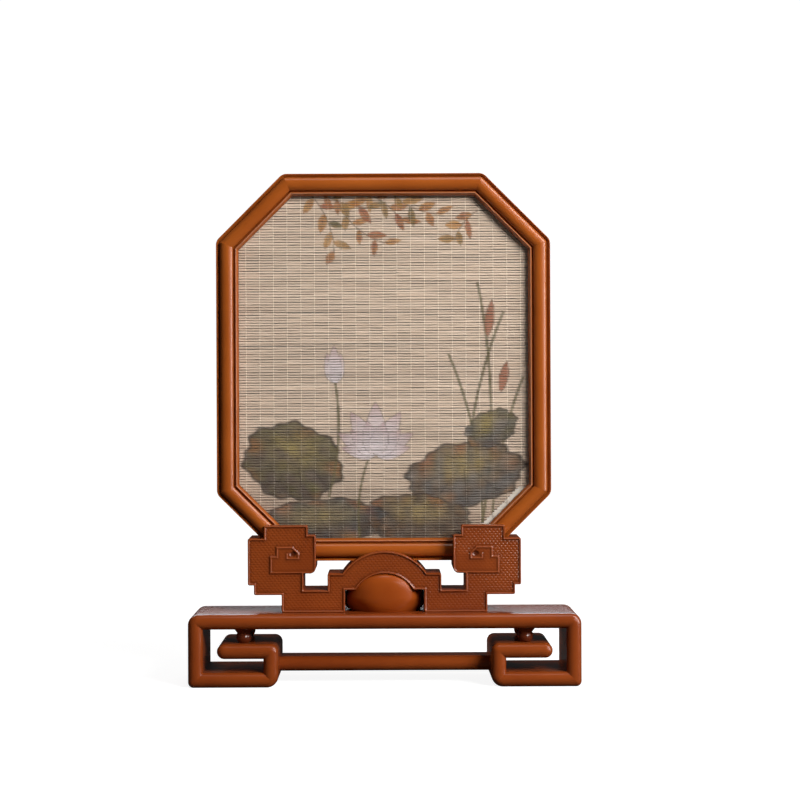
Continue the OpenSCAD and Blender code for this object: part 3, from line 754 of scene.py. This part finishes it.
from_line = nearest(flat, carved)[0]
raised = inside(flat, carved) | on_border
over = np.clip((np.where(raised, from_line, -from_line) + BEAD_FLARE) / (BEAD_HALF + BEAD_FLARE), 0, 1)
bead = BEAD_RISE * np.sqrt(1 - (1 - over) ** 2)
across, up = flat[:, 0] / PUNCH_PITCH, flat[:, 1] / (PUNCH_PITCH * PUNCH_ROW)
cell_x = (across + 0.5 * (np.floor(up) % 2)) % 1 - 0.5
cell_z = up % 1 - 0.5
dome = np.clip(1 - (cell_x / PUNCH_REACH) ** 2 - (cell_z / PUNCH_REACH) ** 2, 0, 1)
clear = np.clip((from_line - PUNCH_CLEAR) / PUNCH_FADE, 0, 1)
faint = 1 - PUNCH_FAINT * climb
punch = PUNCH_RISE * np.sqrt(dome) * clear * faint - EYE_DEPTH * eye
ground = np.where(raised, 0, punch) + TONGUE_RISE * climb
relief = np.where(on_border, 0, np.where(over > 0, np.maximum(bead, ground), ground))
move_to(apron, flat[:, 0], field_y - relief, flat[:, 1])
# Painted shade, darkest beside the lines where their shadow falls, and a painted highlight along the bead's
# crest.
hollow_shade = LINE_SHADE * np.exp(-from_line / LINE_SHADE_REACH) + FIELD_SHADE * (1 - dome) * clear * faint
mark(apron, "glaze", np.where(raised, 0, hollow_shade + EYE_SHADE * eye))
crest = step(0.5, 1, over) * step(2.2 * BEAD_HALF, BEAD_HALF, from_line)
mark(apron, "rubbed", np.where(raised, BEAD_HIGHLIGHT * crest, 0))
select_open_edge("EDGE")
bpy.ops.mesh.extrude_edges_move(TRANSFORM_OT_translate={"value": (0, apron_high.y - field_y, 0)})
bpy.ops.mesh.edge_face_add()
face_outwards()
smooth(50)
back = mirrored(apron, "carved_apron_back", (1, -1, 1))
hand_over(apron, "stand", "lacquer", stand_lacquer, "apron_front")
hand_over(back, "stand", "lacquer", stand_lacquer, "apron_back")

# %% [markdown]
# Under the arch sits a smooth oval boss. It swells out of the opening to the front and the back, and
# its foot is flat on the board. A ball whose poles point to the front and the back is the natural
# start: its rings become ovals, and their depth follows a rule that is fuller above, where the boss
# fills the arch, than at the sides, where it curves away. A bisect cuts the flat foot.

# %% Boss under the arch
pebble_low, pebble_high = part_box("pebble")
BOSS_HALF_W, BOSS_HALF_D, BOSS_MIDDLE = 23.9 * MM, 19.3 * MM, 9.55 * MM
# Shares of its width: below the middle, the boss draws in on its face and spreads at its rim.
DRAWN_IN, SPREAD = 0.12, 0.22
FULL_BELOW, FULLER_ABOVE = 2.4, 3
# Painted shade on the boss's lower rim and its sides, where it curves away from the light.
FOOT_SHADE, SIDE_SHADE = 0.85, 0.4

boss = begin("boss", bpy.ops.mesh.primitive_uv_sphere_add, segments=96, ring_count=56, radius=1)
across, up, out = places(boss).T
from_pole = np.clip(np.hypot(across, up), 0, 1)
below = step(-0.05, -0.5, up)
rim = step(0.7, 1, from_pole)
fullness = FULL_BELOW + FULLER_ABOVE * step(0, 1, up)
y = BOSS_HALF_D * np.sqrt(1 - from_pole ** fullness) * np.sign(np.round(out, 6))
z = pebble_low.z + BOSS_MIDDLE + up * (pebble_high.z - pebble_low.z - BOSS_MIDDLE)
move_to(boss, across * BOSS_HALF_W * (1 + below * (SPREAD * rim - DRAWN_IN)), y, z)
# Painted shade on the lower rim and the sides.
mark(boss, "glaze", FOOT_SHADE * rim * below + SIDE_SHADE * step(0.7, 1, np.abs(across)))
edit("SELECT")
bpy.ops.mesh.bisect(plane_co=(0, 0, pebble_low.z), plane_no=(0, 0, 1), clear_inner=True, use_fill=True)
face_outwards()
smooth(45)
hand_over(boss, "stand", "lacquer", boss_lacquer, "pebble")

# %% [markdown]
# The frame is a run of mouldings: a lip along the outer edge that slopes in, a low dome between two
# narrow quirks, and a crisp edge that slopes in to the panel. The dome is a segment of a circle and
# not a half round, so its brightest line lies right beside the quirk, and that line makes the frame
# look crisp. The section starts as a circle with one corner for each point of the moulding. It is
# drawn out to a stick, its points are set on the section, and both ends are sheared to the mitre.
# The outer corners are eased, so the lip draws in a little near them.

# %% Section of the frame
DOME_START, DOME_HALF, DOME_TURN, FRAME_T = 2.5, 4.0, 60, 15.0
EDGE_X = 12.15
# Painted shade in the quirks, on the lip and on the face beside the panel, and a painted highlight along the
# crisp edge.
QUIRK_SHADE, LIP_SHADE, SIGHT_SHADE, EDGE_HIGHLIGHT = 0.45, 0.2, 0.3, 0.4
dome_r = DOME_HALF / math.sin(math.radians(DOME_TURN))


def arc(middle, radius, first, last, count):
    """Points on an arc, with its angles in degrees."""
    turn = np.radians(np.linspace(first, last, count))
    return np.stack([middle[0] + radius * np.cos(turn), middle[1] + radius * np.sin(turn)], axis=1)


# In millimetres: the distance in from the outer edge, and the height above the back.
section = np.vstack(
    [
        [(0, 0.4)],
        arc((0.3, 11.5), 0.3, 180, 60, 4),
        [(0.9, 11.3), (1.4, 10.8), (1.85, 10.3), (2.1, 10.1), (2.4, 10.1), (DOME_START, 12.5)],
        arc((DOME_START + DOME_HALF, FRAME_T - dome_r), dome_r, 89 + DOME_TURN, 91 - DOME_TURN, 29),
        [(10.5, 12.5), (10.55, 11.4), (11.1, 11.4), (11.55, 12.0)],
        arc((EDGE_X, 12.65), 0.25, 140, 20, 5),
        [(12.75, 11.95), (13.2, 11.0), (13.7, 9.9)],
        [(13.7, 7.8), (9.7, 7.8), (9.7, 0), (0.4, 0)],
    ]
)
v, h = section.T
in_quirk = ((v > 2) & (v < 2.45) & (h > 10)) | ((v > 10.52) & (v < 11.2) & (h > 11))
on_lip = (v > 0.5) & (v < 2) & (h > 10)
by_panel = (v > 13.6) & (h > 7)
section_shade = QUIRK_SHADE * in_quirk + LIP_SHADE * on_lip + SIGHT_SHADE * by_panel
section_highlight = EDGE_HIGHLIGHT * ((np.abs(v - EDGE_X) < 0.3) & (h > 12.5))
print("corners in the section:", len(section))

# %% Sticks of the frame
FRAME_CUT, FRAME_EASE, MITRE = 41.0, 6.5, math.tan(math.radians(22.5))
# Where a stick has rings, from either end and in millimetres.
STATIONS = np.array([0.205, 0.6, 1.1, 1.8, 2.7])
stile_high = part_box("frame_right_stile")[1]
sill_z, head_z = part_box("frame_bottom_rail")[0].z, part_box("frame_top_rail")[1].z
frame_z = (sill_z + head_z) / 2
half_w, half_h = stile_high.x / MM, (head_z - sill_z) / 2 / MM
near_w, near_h = half_w - FRAME_CUT, half_h - FRAME_CUT
# Each stick with the corner that it starts from. The next stick's corner is its end.
starts = {
    "top_rail": (-near_w, half_h),
    "top_right_corner": (near_w, half_h),
    "right_stile": (half_w, near_h),
    "bottom_right_corner": (half_w, -near_h),
    "bottom_rail": (near_w, -half_h),
    "bottom_left_corner": (-near_w, -half_h),
    "left_stile": (-half_w, -near_h),
    "top_left_corner": (-half_w, near_h),
}


def frame_stick(name, start, stop):
    """One stick of the frame, along its outer edge from one corner to the next."""
    count, rings = len(section), 2 * len(STATIONS)
    piece = begin(name, bpy.ops.mesh.primitive_circle_add, vertices=count, radius=1, fill_type="NGON")
    draw_up()
    a, b = edge_ends(piece)
    select(piece, "EDGE", np.abs(a[:, 2] - b[:, 2]) > 0.5)
    bpy.ops.mesh.subdivide(number_cuts=rings - 2)
    bpy.ops.object.mode_set(mode="OBJECT")
    points = places(piece)
    corner = np.rint(np.arctan2(-points[:, 0], points[:, 1]) / (2 * np.pi) * count).astype(int) % count
    along, length = heading(start, stop)
    inwards = (along[1], -along[0])
    rank = np.rint(points[:, 2] * (rings - 1)).astype(int)
    run = np.concatenate([STATIONS, length - STATIONS[::-1]])[rank]
    past = np.clip(FRAME_EASE * MITRE - np.minimum(run, length - run), 0, None)
    eased = FRAME_EASE - np.sqrt(FRAME_EASE ** 2 - past ** 2)
    v, h = section[corner].T
    v = np.where(v < DOME_START, eased + v * (1 - eased / DOME_START), v)
    share = (run - STATIONS[0]) / (length - 2 * STATIONS[0])
    u = v * MITRE + share * (length - 2 * v * MITRE)
    x = (start[0] + along[0] * u + inwards[0] * v) * MM
    z = (start[1] + along[1] * u + inwards[1] * v) * MM
    move_to(piece, x, stile_high.y - h * MM, frame_z + z)
    # The painted shade and the painted highlight, from each corner of the section.
    mark(piece, "glaze", section_shade[corner])
    mark(piece, "rubbed", section_highlight[corner])
    face_outwards()
    smooth(40)
    return piece


corners = list(starts.values())
for name, start, stop in zip(starts, corners, corners[1:] + corners[:1]):
    piece = frame_stick("moulded_" + name, start, stop)
    hand_over(piece, "screen", "lacquer", frame_lacquer, "frame_" + name)

# %% [markdown]
# The panel is a blind of split bamboo. Each slat is a thin stick with eased front edges, and no two
# are quite alike: they bow a little, so the gaps between them open and close, and each has its own
# tone. One slat is modelled, repeated with an Array, and then each copy is cut to the panel's
# outline and bent by its own small amounts. The slats are made in three lengths of blind, so that
# each piece stays light.

# %% Slats
SLATS, SLAT_PITCH, SLAT_GAP, SLAT_EASE = 136, 1.6 * MM, 0.2 * MM, 0.25 * MM
HALF_CUTS = 100
BOW, LONG_WAVE, SHORT_WAVE = 0.05 * MM, 34, 110
TAPER, LIFT = (-0.01, 0.05), 0.03 * MM
# How far the slats stop short at the lower right corner, where the lining shows.
SHORT_BY = 8.6 * MM
lining_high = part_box("lining_paper")[1]
slat_low, slat_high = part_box("bamboo_slats")
panel_z = (slat_low.z + slat_high.z) / 2
panel_half_w = slat_high.x
lining = places(nodes["lining_paper"])
top_half_w = lining[lining[:, 2] > lining_high.z - 1e-6, 0].max()
panel_span = top_half_w + (lining_high.z - panel_z)
draw = np.random.default_rng(11)


def blind(name, first, count):
    """A stretch of the blind: one slat, repeated, cut to the outline and made uneven."""
    piece = begin(name, bpy.ops.mesh.primitive_cube_add, size=1)
    height, thickness = SLAT_PITCH - SLAT_GAP, slat_high.y - slat_low.y
    move_to(piece, *(places(piece) * (2 * panel_half_w, thickness, height)).T)
    a, b = edge_ends(piece)
    select(piece, "EDGE", (a[:, 1] < 0) & (b[:, 1] < 0) & (a[:, 0] != b[:, 0]))
    bpy.ops.mesh.bevel(offset=SLAT_EASE, segments=1)
    for shortest, cuts in ((panel_half_w * 1.5, 1), (panel_half_w * 0.5, HALF_CUTS)):
        a, b = edge_ends(piece)
        select(piece, "EDGE", np.abs(a[:, 0] - b[:, 0]) > shortest)
        bpy.ops.mesh.subdivide(number_cuts=cuts)
    bpy.ops.object.mode_set(mode="OBJECT")
    each = len(piece.data.vertices)
    repeat(piece, count, (0, 0, SLAT_PITCH))
    points = places(piece)
    index = np.arange(len(points)) // each
    local_z = points[:, 2] - index * SLAT_PITCH
    middle_z = (index + first - (SLATS - 1) / 2) * SLAT_PITCH
    reach = np.minimum(panel_half_w, panel_span - np.abs(middle_z) - height / 2)
    right = np.where((middle_z < 0) & (reach < panel_half_w), reach - SHORT_BY, reach)
    x = points[:, 0] * np.where(points[:, 0] > 0, right, reach) / panel_half_w
    bow = draw.normal(0, BOW, (2, count))[:, index]
    swing = draw.uniform(0, 2 * np.pi, (2, count))[:, index]
    edge = bow[0] * np.sin(x * LONG_WAVE + swing[0]) + bow[1] * np.sin(x * SHORT_WAVE + swing[1])
    taper = 1 + draw.normal(*TAPER, count)[index]
    lift = np.abs(draw.normal(0, LIFT, count)[index])
    y = (slat_low.y + slat_high.y) / 2 + points[:, 1] + lift
    move_to(piece, x, y, panel_z + middle_z + local_z * taper + edge)
    return piece, index, local_z / height


lengths = [("slats_low", 0, 46), ("slats_middle", 46, 45), ("slats_high", 91, 45)]
blinds = [blind(*length) for length in lengths]
print("slats:", sum(count for _, _, count in lengths))

# %% [markdown]
# The picture on the blind is a plain lotus pond of the kind found on many screens: broad grey-green
# leaves, one pale bloom, reeds, and a few autumn sprigs that hang in from the top. It is painted
# stroke by stroke from simple shapes. Each stroke is a rule that says how much of a pigment a point
# takes, and the points are the corners of the slats. The result is kept as a colour attribute.
# All lengths in the picture are in millimetres, from the panel's middle.

# %% Brush
INK, UMBER, SLATE = colour(52, 46, 42), colour(100, 80, 60), colour(68, 74, 78)
OLIVE, OCHRE, RUSSET = colour(98, 92, 58), colour(190, 138, 74), colour(156, 82, 48)
BLUSH, CREAM, STRAW = colour(196, 158, 156), colour(234, 224, 224), colour(166, 146, 94)
# The depth inside a stroke's edge that stands for a point well outside it.
OUTSIDE = -9.0


def mottle(x, z, size, seed):
    """A soft cloudy pattern from -1 to 1, with blotches of about the given size."""
    turns = np.random.default_rng(seed)
    total = np.zeros_like(x)
    for _ in range(6):
        angle = turns.uniform(0, 2 * np.pi)
        pitch = 2 * np.pi / size * turns.uniform(0.6, 1.6)
        total += np.sin((x * np.cos(angle) + z * np.sin(angle)) * pitch + turns.uniform(0, 7))
    return total / 4


def blended(first, second, share):
    """Two pigments mixed by a share at each point."""
    share = np.clip(share, 0, 1)[:, None]
    return np.array(first) * (1 - share) + np.array(second) * share


def lay(wash, cover, pigment):
    """Lays a pigment over the wash, as much as cover says."""
    cover = np.clip(cover, 0, 1)[:, None]
    under = wash[:, 3:] * (1 - cover)
    total = cover + under
    wash[:, :3] = (np.asarray(pigment)[..., :3] * cover + wash[:, :3] * under) / np.maximum(total, 1e-6)
    wash[:, 3:] = total


def beside(x, z, base, tip):
    """The share of the way from base to tip, and the distance off that line."""
    run, length = heading(base, tip)
    share = ((x - base[0]) * run[0] + (z - base[1]) * run[1]) / length
    off = (z - base[1]) * run[0] - (x - base[0]) * run[1]
    return share, off


def blade(x, z, base, tip, width, belly):
    """A pointed leaf or petal: depth inside its edge, share of its length, distance off its rib."""
    share, off = beside(x, z, base, tip)
    part = np.clip(share, 0, 1)
    half = width / 2 * np.sin(np.pi * part ** belly) ** 0.8
    return np.where((share > 0) & (share < 1), half - np.abs(off), OUTSIDE), part, off


def stem(x, z, root, tip, bend, thick):
    """The depth inside a thin line between two ends, bent sideways in its middle."""
    share, off = beside(x, z, root, tip)
    off = off - bend * 4 * share * (1 - share)
    return np.where((share > 0) & (share < 1), thick / 2 - np.abs(off), OUTSIDE)


print("pigments:", len((INK, UMBER, SLATE, OLIVE, OCHRE, RUSSET, BLUSH, CREAM, STRAW)))

# %% Strokes


def lotus_leaf(wash, x, z, middle, reach, tilt, pigments, seed, strength):
    """A broad leaf: a cloudy wash with a pale heart, rusty patches, ink veins and a dark wavy rim."""
    turn = math.radians(tilt)
    dx, dz = x - middle[0], z - middle[1]
    across = (dx * math.cos(turn) + dz * math.sin(turn)) / reach[0]
    up = (dz * math.cos(turn) - dx * math.sin(turn)) / reach[1]
    angle = np.arctan2(up, across)
    rim = 1 + 0.05 * np.sin(7 * angle + seed) + 0.03 * np.sin(17 * angle + 2 * seed)
    out = np.hypot(across, up) / rim
    within = step(1.0, 0.94, out)
    heart = np.hypot(across, up - 0.35)
    veins = np.abs(np.sin(6.5 * np.arctan2(up - 0.35, across) + seed)) * np.clip(heart * 3, 0, 1)
    cloud = mottle(x, z, 14, seed)
    blend = 0.45 + 0.6 * cloud + 0.4 * up
    lay(wash, within * strength * (0.94 + 0.06 * cloud), blended(*pigments, blend))
    lay(wash, step(0.85, 0.0, heart) * (0.55 + 0.3 * cloud), STRAW)
    rust = step(0.4, 0.95, out) * step(-0.1, 0.9, mottle(x, z, 26, seed + 40)) * within
    lay(wash, rust * 0.5, blended(OCHRE, RUSSET, blend))
    lay(wash, step(0.2, 0.06, veins) * step(0.95, 0.8, out) * step(0.08, 0.2, heart) * 0.6, INK)
    lay(wash, step(0.06, 0.0, np.abs(out - 0.965)) * 0.85, INK)


def petal(wash, x, z, base, tip, width):
    """A petal of the bloom: cream, blushing towards its tip, with a fine darker edge."""
    depth, share, off = blade(x, z, base, tip, width, 0.72)
    lay(wash, step(0.0, 0.7, depth) * 0.9, blended(CREAM, BLUSH, 0.15 + share ** 3 * 0.8))
    lay(wash, step(0.75, 0.1, depth) * step(0.0, 0.2, depth) * 0.65, UMBER)
    lay(wash, step(0.4, 0.1, np.abs(np.sin(off * 1.6))) * step(0.8, 1.6, depth) * 0.14, BLUSH)


def sprig(wash, x, z, root, tip, bend, leaves, seed):
    """A hanging sprig: a thin stem with pointed autumn leaves to both sides."""
    turns = np.random.default_rng(seed)
    lay(wash, step(-0.2, 0.3, stem(x, z, root, tip, bend, 0.9)) * 0.7, UMBER)
    run, length = heading(root, tip)
    for i in range(leaves):
        share = (i + 0.8) / leaves
        sideways = np.array([-run[1], run[0]]) * bend * 4 * share * (1 - share)
        start = np.array(root) + run * length * share + sideways
        angle = math.atan2(run[1], run[0]) + (1 if i % 2 else -1) * turns.uniform(0.5, 1.1)
        end = start + turns.uniform(9, 13.5) * np.array([math.cos(angle), math.sin(angle)])
        depth, _, off = blade(x, z, start, end, turns.uniform(4.2, 6.0), 0.85)
        warm = turns.uniform(0, 1) + 0.35 * mottle(x, z, 6, seed + i)
        pigment = blended(OCHRE, RUSSET if turns.uniform() > 0.4 else OLIVE, warm)
        lay(wash, step(-0.1, 0.5, depth) * 0.86, pigment)
        lay(wash, step(0.35, 0.1, np.abs(off)) * step(0.2, 0.6, depth) * 0.45, UMBER)


print("strokes:", [stroke.__name__ for stroke in (lotus_leaf, petal, sprig)])

# %% Picture
# Reeds and flower stems: root, tip and bend. Reed heads: lower and upper end.
REEDS = [
    ((52, -110), (74, 34), 9), ((58, -110), (58, 52), -8),
    ((66, -110), (86, -6), 5), ((60, -110), (40, 8), -7),
]
REED_HEADS = [((64, 18), (67, 42)), ((72, -16), (76, 4))]
FLOWER_STEMS = [((-14, -110), (-6, -48), 5), ((-34, -80), (-30, -8), -4)]
# Leaves: middle, reach, tilt, pigments, seed and strength.
LEAVES = [
    ((50, -66), (37, 20), 9, (SLATE, UMBER), 1, 0.94),
    ((-56, -58), (31, 24), -14, (INK, OLIVE), 2, 0.96),
    ((20, -93), (34, 15), -4, (INK, UMBER), 4, 0.94),
    ((-40, -96), (42, 15), 5, (INK, SLATE), 6, 0.96),
    ((66, -38), (17, 11), 24, (SLATE, OLIVE), 8, 0.94),
]
# Petals of the bloom: direction in degrees, length and width. Petals of the bud: tip.
BLOOM = (-5, -54)
PETALS = [
    (150, 27, 12), (30, 27, 12), (120, 31, 13), (60, 31, 13), (90, 33, 14), (168, 22, 10),
    (12, 22, 10), (135, 22, 12), (45, 22, 12), (105, 22, 12), (76, 21, 12),
]
BUD, BUD_TIPS = (-30, -10), [(-35, 9), (-26, 9), (-30.5, 14)]
# Sprigs: root, tip, bend, number of leaves and seed.
SPRIGS = [
    ((-46, 108), (-30, 70), 4, 7, 21), ((-30, 108), (2, 76), -6, 8, 22),
    ((-12, 108), (12, 90), 2, 6, 23), ((58, 96), (44, 78), -2, 5, 24),
    ((4, 108), (34, 94), -3, 6, 25), ((-40, 108), (-8, 98), -2, 6, 26),
]


def picture(x, z):
    """The whole pond as a wash of colour and cover at each point."""
    wash = np.zeros((len(x), 4))
    lay(wash, step(-40, -108, z + 6 * mottle(x, z, 40, 3)) * 0.45, UMBER)
    for root, tip, bend in REEDS:
        lay(wash, step(-0.2, 0.5, stem(x, z, root, tip, bend, 1.9)) * 0.85, OLIVE)
    for low, high in REED_HEADS:
        depth = blade(x, z, low, high, 6.4, 0.9)[0]
        lay(wash, step(0.0, 0.6, depth) * 0.8, RUSSET)
        lay(wash, step(1.4, 0.4, depth) * step(0.0, 0.4, depth) * 0.35, INK)
    for leaf in LEAVES:
        lotus_leaf(wash, x, z, *leaf)
    for root, tip, bend in FLOWER_STEMS:
        lay(wash, step(-0.2, 0.5, stem(x, z, root, tip, bend, 1.7)) * 0.9, OLIVE)
    for angle, length, width in PETALS:
        turn = math.radians(angle)
        tip = (BLOOM[0] + length * math.cos(turn), BLOOM[1] + length * math.sin(turn))
        petal(wash, x, z, BLOOM, tip, width)
    for tip in BUD_TIPS:
        petal(wash, x, z, BUD, tip, 9)
    for each in SPRIGS:
        sprig(wash, x, z, *each)
    wash[:, 3] *= np.clip(0.95 + 0.05 * mottle(x, z, 9, 31), 0, 1)
    return wash


def paint(piece, takes):
    """Keeps the picture at each corner of a piece that takes a share of its cover."""
    points = places(piece)
    wash = picture(points[:, 0] / MM, (points[:, 2] - panel_z) / MM)
    wash[:, 3] *= takes
    kept = piece.data.color_attributes.new("wash", "FLOAT_COLOR", "POINT")
    kept.data.foreach_set("color", wash.ravel())
    print(piece.name, "painted on", int((wash[:, 3] > 0.05).sum()), "of", len(points), "points")


for piece, _, _ in blinds:
    paint(piece, 1)

# %% [markdown]
# No slat has quite the tone of the next. The gaps between them lie in shade, and that shade is painted
# into the colour, but not all along: between two threads a slat often lies close to its neighbour,
# and the gap is shut there. Each corner gets its tone from its slat, and the eased edges get the
# painted shade of the gap beside them.

# %% Tones of the slats
THREAD_PITCH = 8.45 * MM
BAYS, MIDDLE_BAY = 26, 12
OPEN_SHARE, SHUT_TONES = 0.4, (0.3, 0.9)
SLAT_TONE = (0.93, 0.06)
# Past this share of its height a slat is eased, and past this depth its back takes the painted shade.
EASED, BACK = 0.4, 0.5 * MM

for (piece, index, height), (_, first, count) in zip(blinds, lengths):
    points = places(piece)
    x = points[:, 0] / MM
    tone = draw.normal(*SLAT_TONE, count)[index] + 0.06 * mottle(x, index * 5.0, 30, first)
    bay = np.clip(np.floor(points[:, 0] / THREAD_PITCH).astype(int) + MIDDLE_BAY, 0, BAYS - 1)
    gap_row = index + (height > 0)
    is_open = draw.random((count + 1, BAYS)) < OPEN_SHARE
    shut = np.where(is_open, 0.0, draw.uniform(*SHUT_TONES, (count + 1, BAYS)))
    gap = np.clip(shut[gap_row, bay] + 0.25 * mottle(x, gap_row * 7.0, 9, first + 3), 0, 1)
    # The eased edges take the painted shade of the gap, and the back takes it in full.
    tone = np.where(np.abs(height) > EASED, tone * gap, tone)
    mark(piece, "slat_tone", np.where(points[:, 1] > slat_low.y + BACK, 0, tone))
    print(piece.name, "has gaps open in", int(is_open.sum()), "of", is_open.size, "bays")

# %% [markdown]
# Bamboo is pale and fibrous, with its fibres along the slat. The finish adds fine streaks along X,
# mixes the painted wash over them, and reads each slat's own tone and the painted shade of its gaps.
# The streaks also serve the plain wood and the paper behind, so they are a node group.

# %% Fibre group and bamboo
# The painted shade in the gaps between the slats and behind them.
GAP_SHADE = colour(62, 42, 29)
FIBRE_SCALE, FIBRE_STRETCH, FIBRE_RANGE = 60, (0.5, 30, 30), (0.32, 0.68)
FIBRE_STRENGTH, FIBRE_DEPTH = 0.15, 0.08 * MM

fibre_group, given, put = group_with(
    "fibre_streaks",
    [("Pale", "NodeSocketColor", colour(214, 196, 172)), ("Brown", "NodeSocketColor", colour(160, 130, 100))],
    [("Color", "NodeSocketColor"), ("Streak", "NodeSocketFloat")],
)
fibres = noise_in(fibre_group, FIBRE_SCALE, 4, FIBRE_STRETCH)
streak = range_in(fibre_group, fibres, *FIBRE_RANGE, 0, 1)
streaked = mix_in(fibre_group, streak, given.outputs["Pale"], given.outputs["Brown"])
feed(fibre_group, put, {"Color": streaked, "Streak": streak})


def fibrous(name, pale, brown, roughness):
    """A finish with fine streaks along X. Returns the material, its parts and the streaked colour."""
    material, tree, shader = finish(name, pale, roughness)
    fibre = add_in(tree, "ShaderNodeGroup", {"Pale": pale, "Brown": brown}, node_tree=fibre_group)
    feed(tree, shader, {"Base Color": fibre["Color"]})
    bump_in(tree, shader, fibre["Streak"], FIBRE_STRENGTH, FIBRE_DEPTH)
    return material, tree, shader, fibre["Color"]


def washed(tree, bare):
    """A bare colour with the painted wash over it."""
    wash = attribute_in(tree, "wash")
    return mix_in(tree, wash["Alpha"], bare, wash["Color"])


bamboo, tree, shader, streaked = fibrous("painted_bamboo", colour(232, 210, 188), colour(208, 183, 160), 0.55)
toned_and_gap_shaded = mix_in(tree, attribute_in(tree, "slat_tone")["Fac"], GAP_SHADE, washed(tree, streaked))
feed(tree, shader, {"Base Color": toned_and_gap_shaded})
for piece, _, _ in blinds:
    take_up(piece)
    smooth(25)
    hand_over(piece, "screen", "bamboo", bamboo)
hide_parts("bamboo_slats")

# %% [markdown]
# Cotton threads bind the slats. Seen close, each thread climbs over a slat and dips into the gap
# before the next, so it looks like a string of small lumps. One lump is a short tube that is cut
# into rings and bent, and the Array joins the lumps into a thread. The brush went over the threads
# too, so they take most of the picture's wash.

# %% Threads
THREAD_HALF, THREAD_TAKES = 0.23 * MM, 0.8
SIDES, LUMP_CUTS = 6, 3
# Shares of the thread's size: its mean width, how much it swells, and how flat it is.
MEAN_WIDTH, SWELL, FLATNESS = 0.86, 0.2, 0.55
SWAY, CLIMB, CLIMB_MIDDLE = 0.05 * MM, 0.13 * MM, 0.15

threads_a_side = round((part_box("binding_threads")[1].x - THREAD_HALF) / THREAD_PITCH)
thread_count = 2 * threads_a_side + 1
threads = begin(
    "threads",
    bpy.ops.mesh.primitive_cylinder_add,
    vertices=SIDES,
    radius=THREAD_HALF,
    depth=SLAT_PITCH,
    end_fill_type="NOTHING",
)
a, b = edge_ends(threads)
select(threads, "EDGE", np.abs(a[:, 2] - b[:, 2]) > SLAT_PITCH / 2)
bpy.ops.mesh.subdivide(number_cuts=LUMP_CUTS)
bpy.ops.object.mode_set(mode="OBJECT")
repeat(threads, SLATS, (0, 0, SLAT_PITCH))
each = len(threads.data.vertices)
repeat(threads, thread_count, (THREAD_PITCH, 0, 0))
points = places(threads)
column = np.arange(len(points)) // each
row = np.clip(np.rint(points[:, 2] / SLAT_PITCH), 0, SLATS).astype(int)
rise = np.cos(points[:, 2] / SLAT_PITCH * 2 * np.pi)
swell = MEAN_WIDTH + SWELL * rise
sway = draw.normal(0, SWAY, (thread_count, SLATS + 1))[column, row]
middle_x = (column - threads_a_side) * THREAD_PITCH
x = middle_x + (points[:, 0] - column * THREAD_PITCH) * swell + sway
y = slat_low.y + points[:, 1] * swell * FLATNESS - (rise - CLIMB_MIDDLE) * CLIMB
z = panel_z + points[:, 2] - (SLATS - 1) / 2 * SLAT_PITCH
move_to(threads, x, y, z)
reach = np.minimum(lining_high.z - panel_z, panel_span - np.abs(middle_x) - THREAD_HALF)
spare = np.abs(z - panel_z) > reach
select(threads, "FACE", spare[face_corners(threads)].any(axis=1))
bpy.ops.mesh.delete(type="FACE")
edit("SELECT")
bpy.ops.mesh.fill_holes(sides=SIDES)
face_outwards()
smooth(70)
paint(threads, THREAD_TAKES)

# %% Cotton
TWIST_SCALE, TWIST_STRETCH = 700, (1, 1, 0.5)
TWIST_STRENGTH, TWIST_DEPTH = 0.3, 0.1 * MM

cotton, tree, shader = finish("cotton_thread", colour(226, 208, 188), 0.8)
twist = noise_in(tree, TWIST_SCALE, 2, TWIST_STRETCH)
bare = mix_in(tree, twist, colour(222, 203, 182), colour(246, 232, 212))
feed(tree, shader, {"Base Color": washed(tree, bare)})
bump_in(tree, shader, twist, TWIST_STRENGTH, TWIST_DEPTH)
hand_over(threads, "screen", "thread", cotton, "binding_threads")

# %% [markdown]
# Behind the slats lie a sheet of lining paper and a plain board, and slips with small steel brads
# hold them in. They show only from the back, and along one cut corner where the slats stop short.

# %% Lining, board and brads
SCUFF_SCALE, SCUFF_RANGE, BRAD_ROUGHNESS = 1500, (0.3, 0.7), (0.25, 0.5)

paper = fibrous("lining_paper", colour(226, 218, 206), colour(206, 194, 178), 0.9)[0]
wear(nodes["lining_paper"], paper)
plain_wood = fibrous("plain_wood", colour(196, 156, 110), colour(158, 112, 68), 0.6)[0]
for name in ("backing_board", "frame_splines", "mitre_keys", "pebble_dowel"):
    wear(nodes[name], plain_wood)
brad_metal, tree, shader = finish("brad_metal", colour(150, 148, 144), 0.35)
scuffed = range_in(tree, noise_in(tree, SCUFF_SCALE, 2), *SCUFF_RANGE, *BRAD_ROUGHNESS)
feed(tree, shader, {"Metallic": 1, "Roughness": scuffed})
wear(nodes["slip_brads"], brad_metal)
print("materials:", sorted(m.name for m in bpy.data.materials if m.users))

# %% [markdown]
# Some of the lamps are kept to the pieces that they are there for, as flags would do it in a studio.
# The box behind gives the sheen on the top of the base, and would put a grey film on the feet, which
# lie in the shade of the planks above them. The lamp for the carving picks out the relief, and would
# cut across the frame. One low lamp puts a glint on the beads. The fill behind lights the back, and
# leaves the floor alone.

# %% Lamps and the pieces they serve
served = {
    "back_box": ["scroll_base_top"],
    "carving_gloss": ["carved_apron_front", "carved_apron_back"],
    "bead_gloss": ["left_bead", "right_bead"],
    "back_fill": [piece.name for piece in scene.objects if piece.type == "MESH" and piece != floor],
}
for lamp, names in served.items():
    receivers = bpy.data.collections.new(lamp + "_serves")
    for name in names:
        receivers.objects.link(bpy.data.objects[name])
    lamps[lamp].light_linking.receiver_collection = receivers
    print(lamp, "serves", len(names), "pieces")
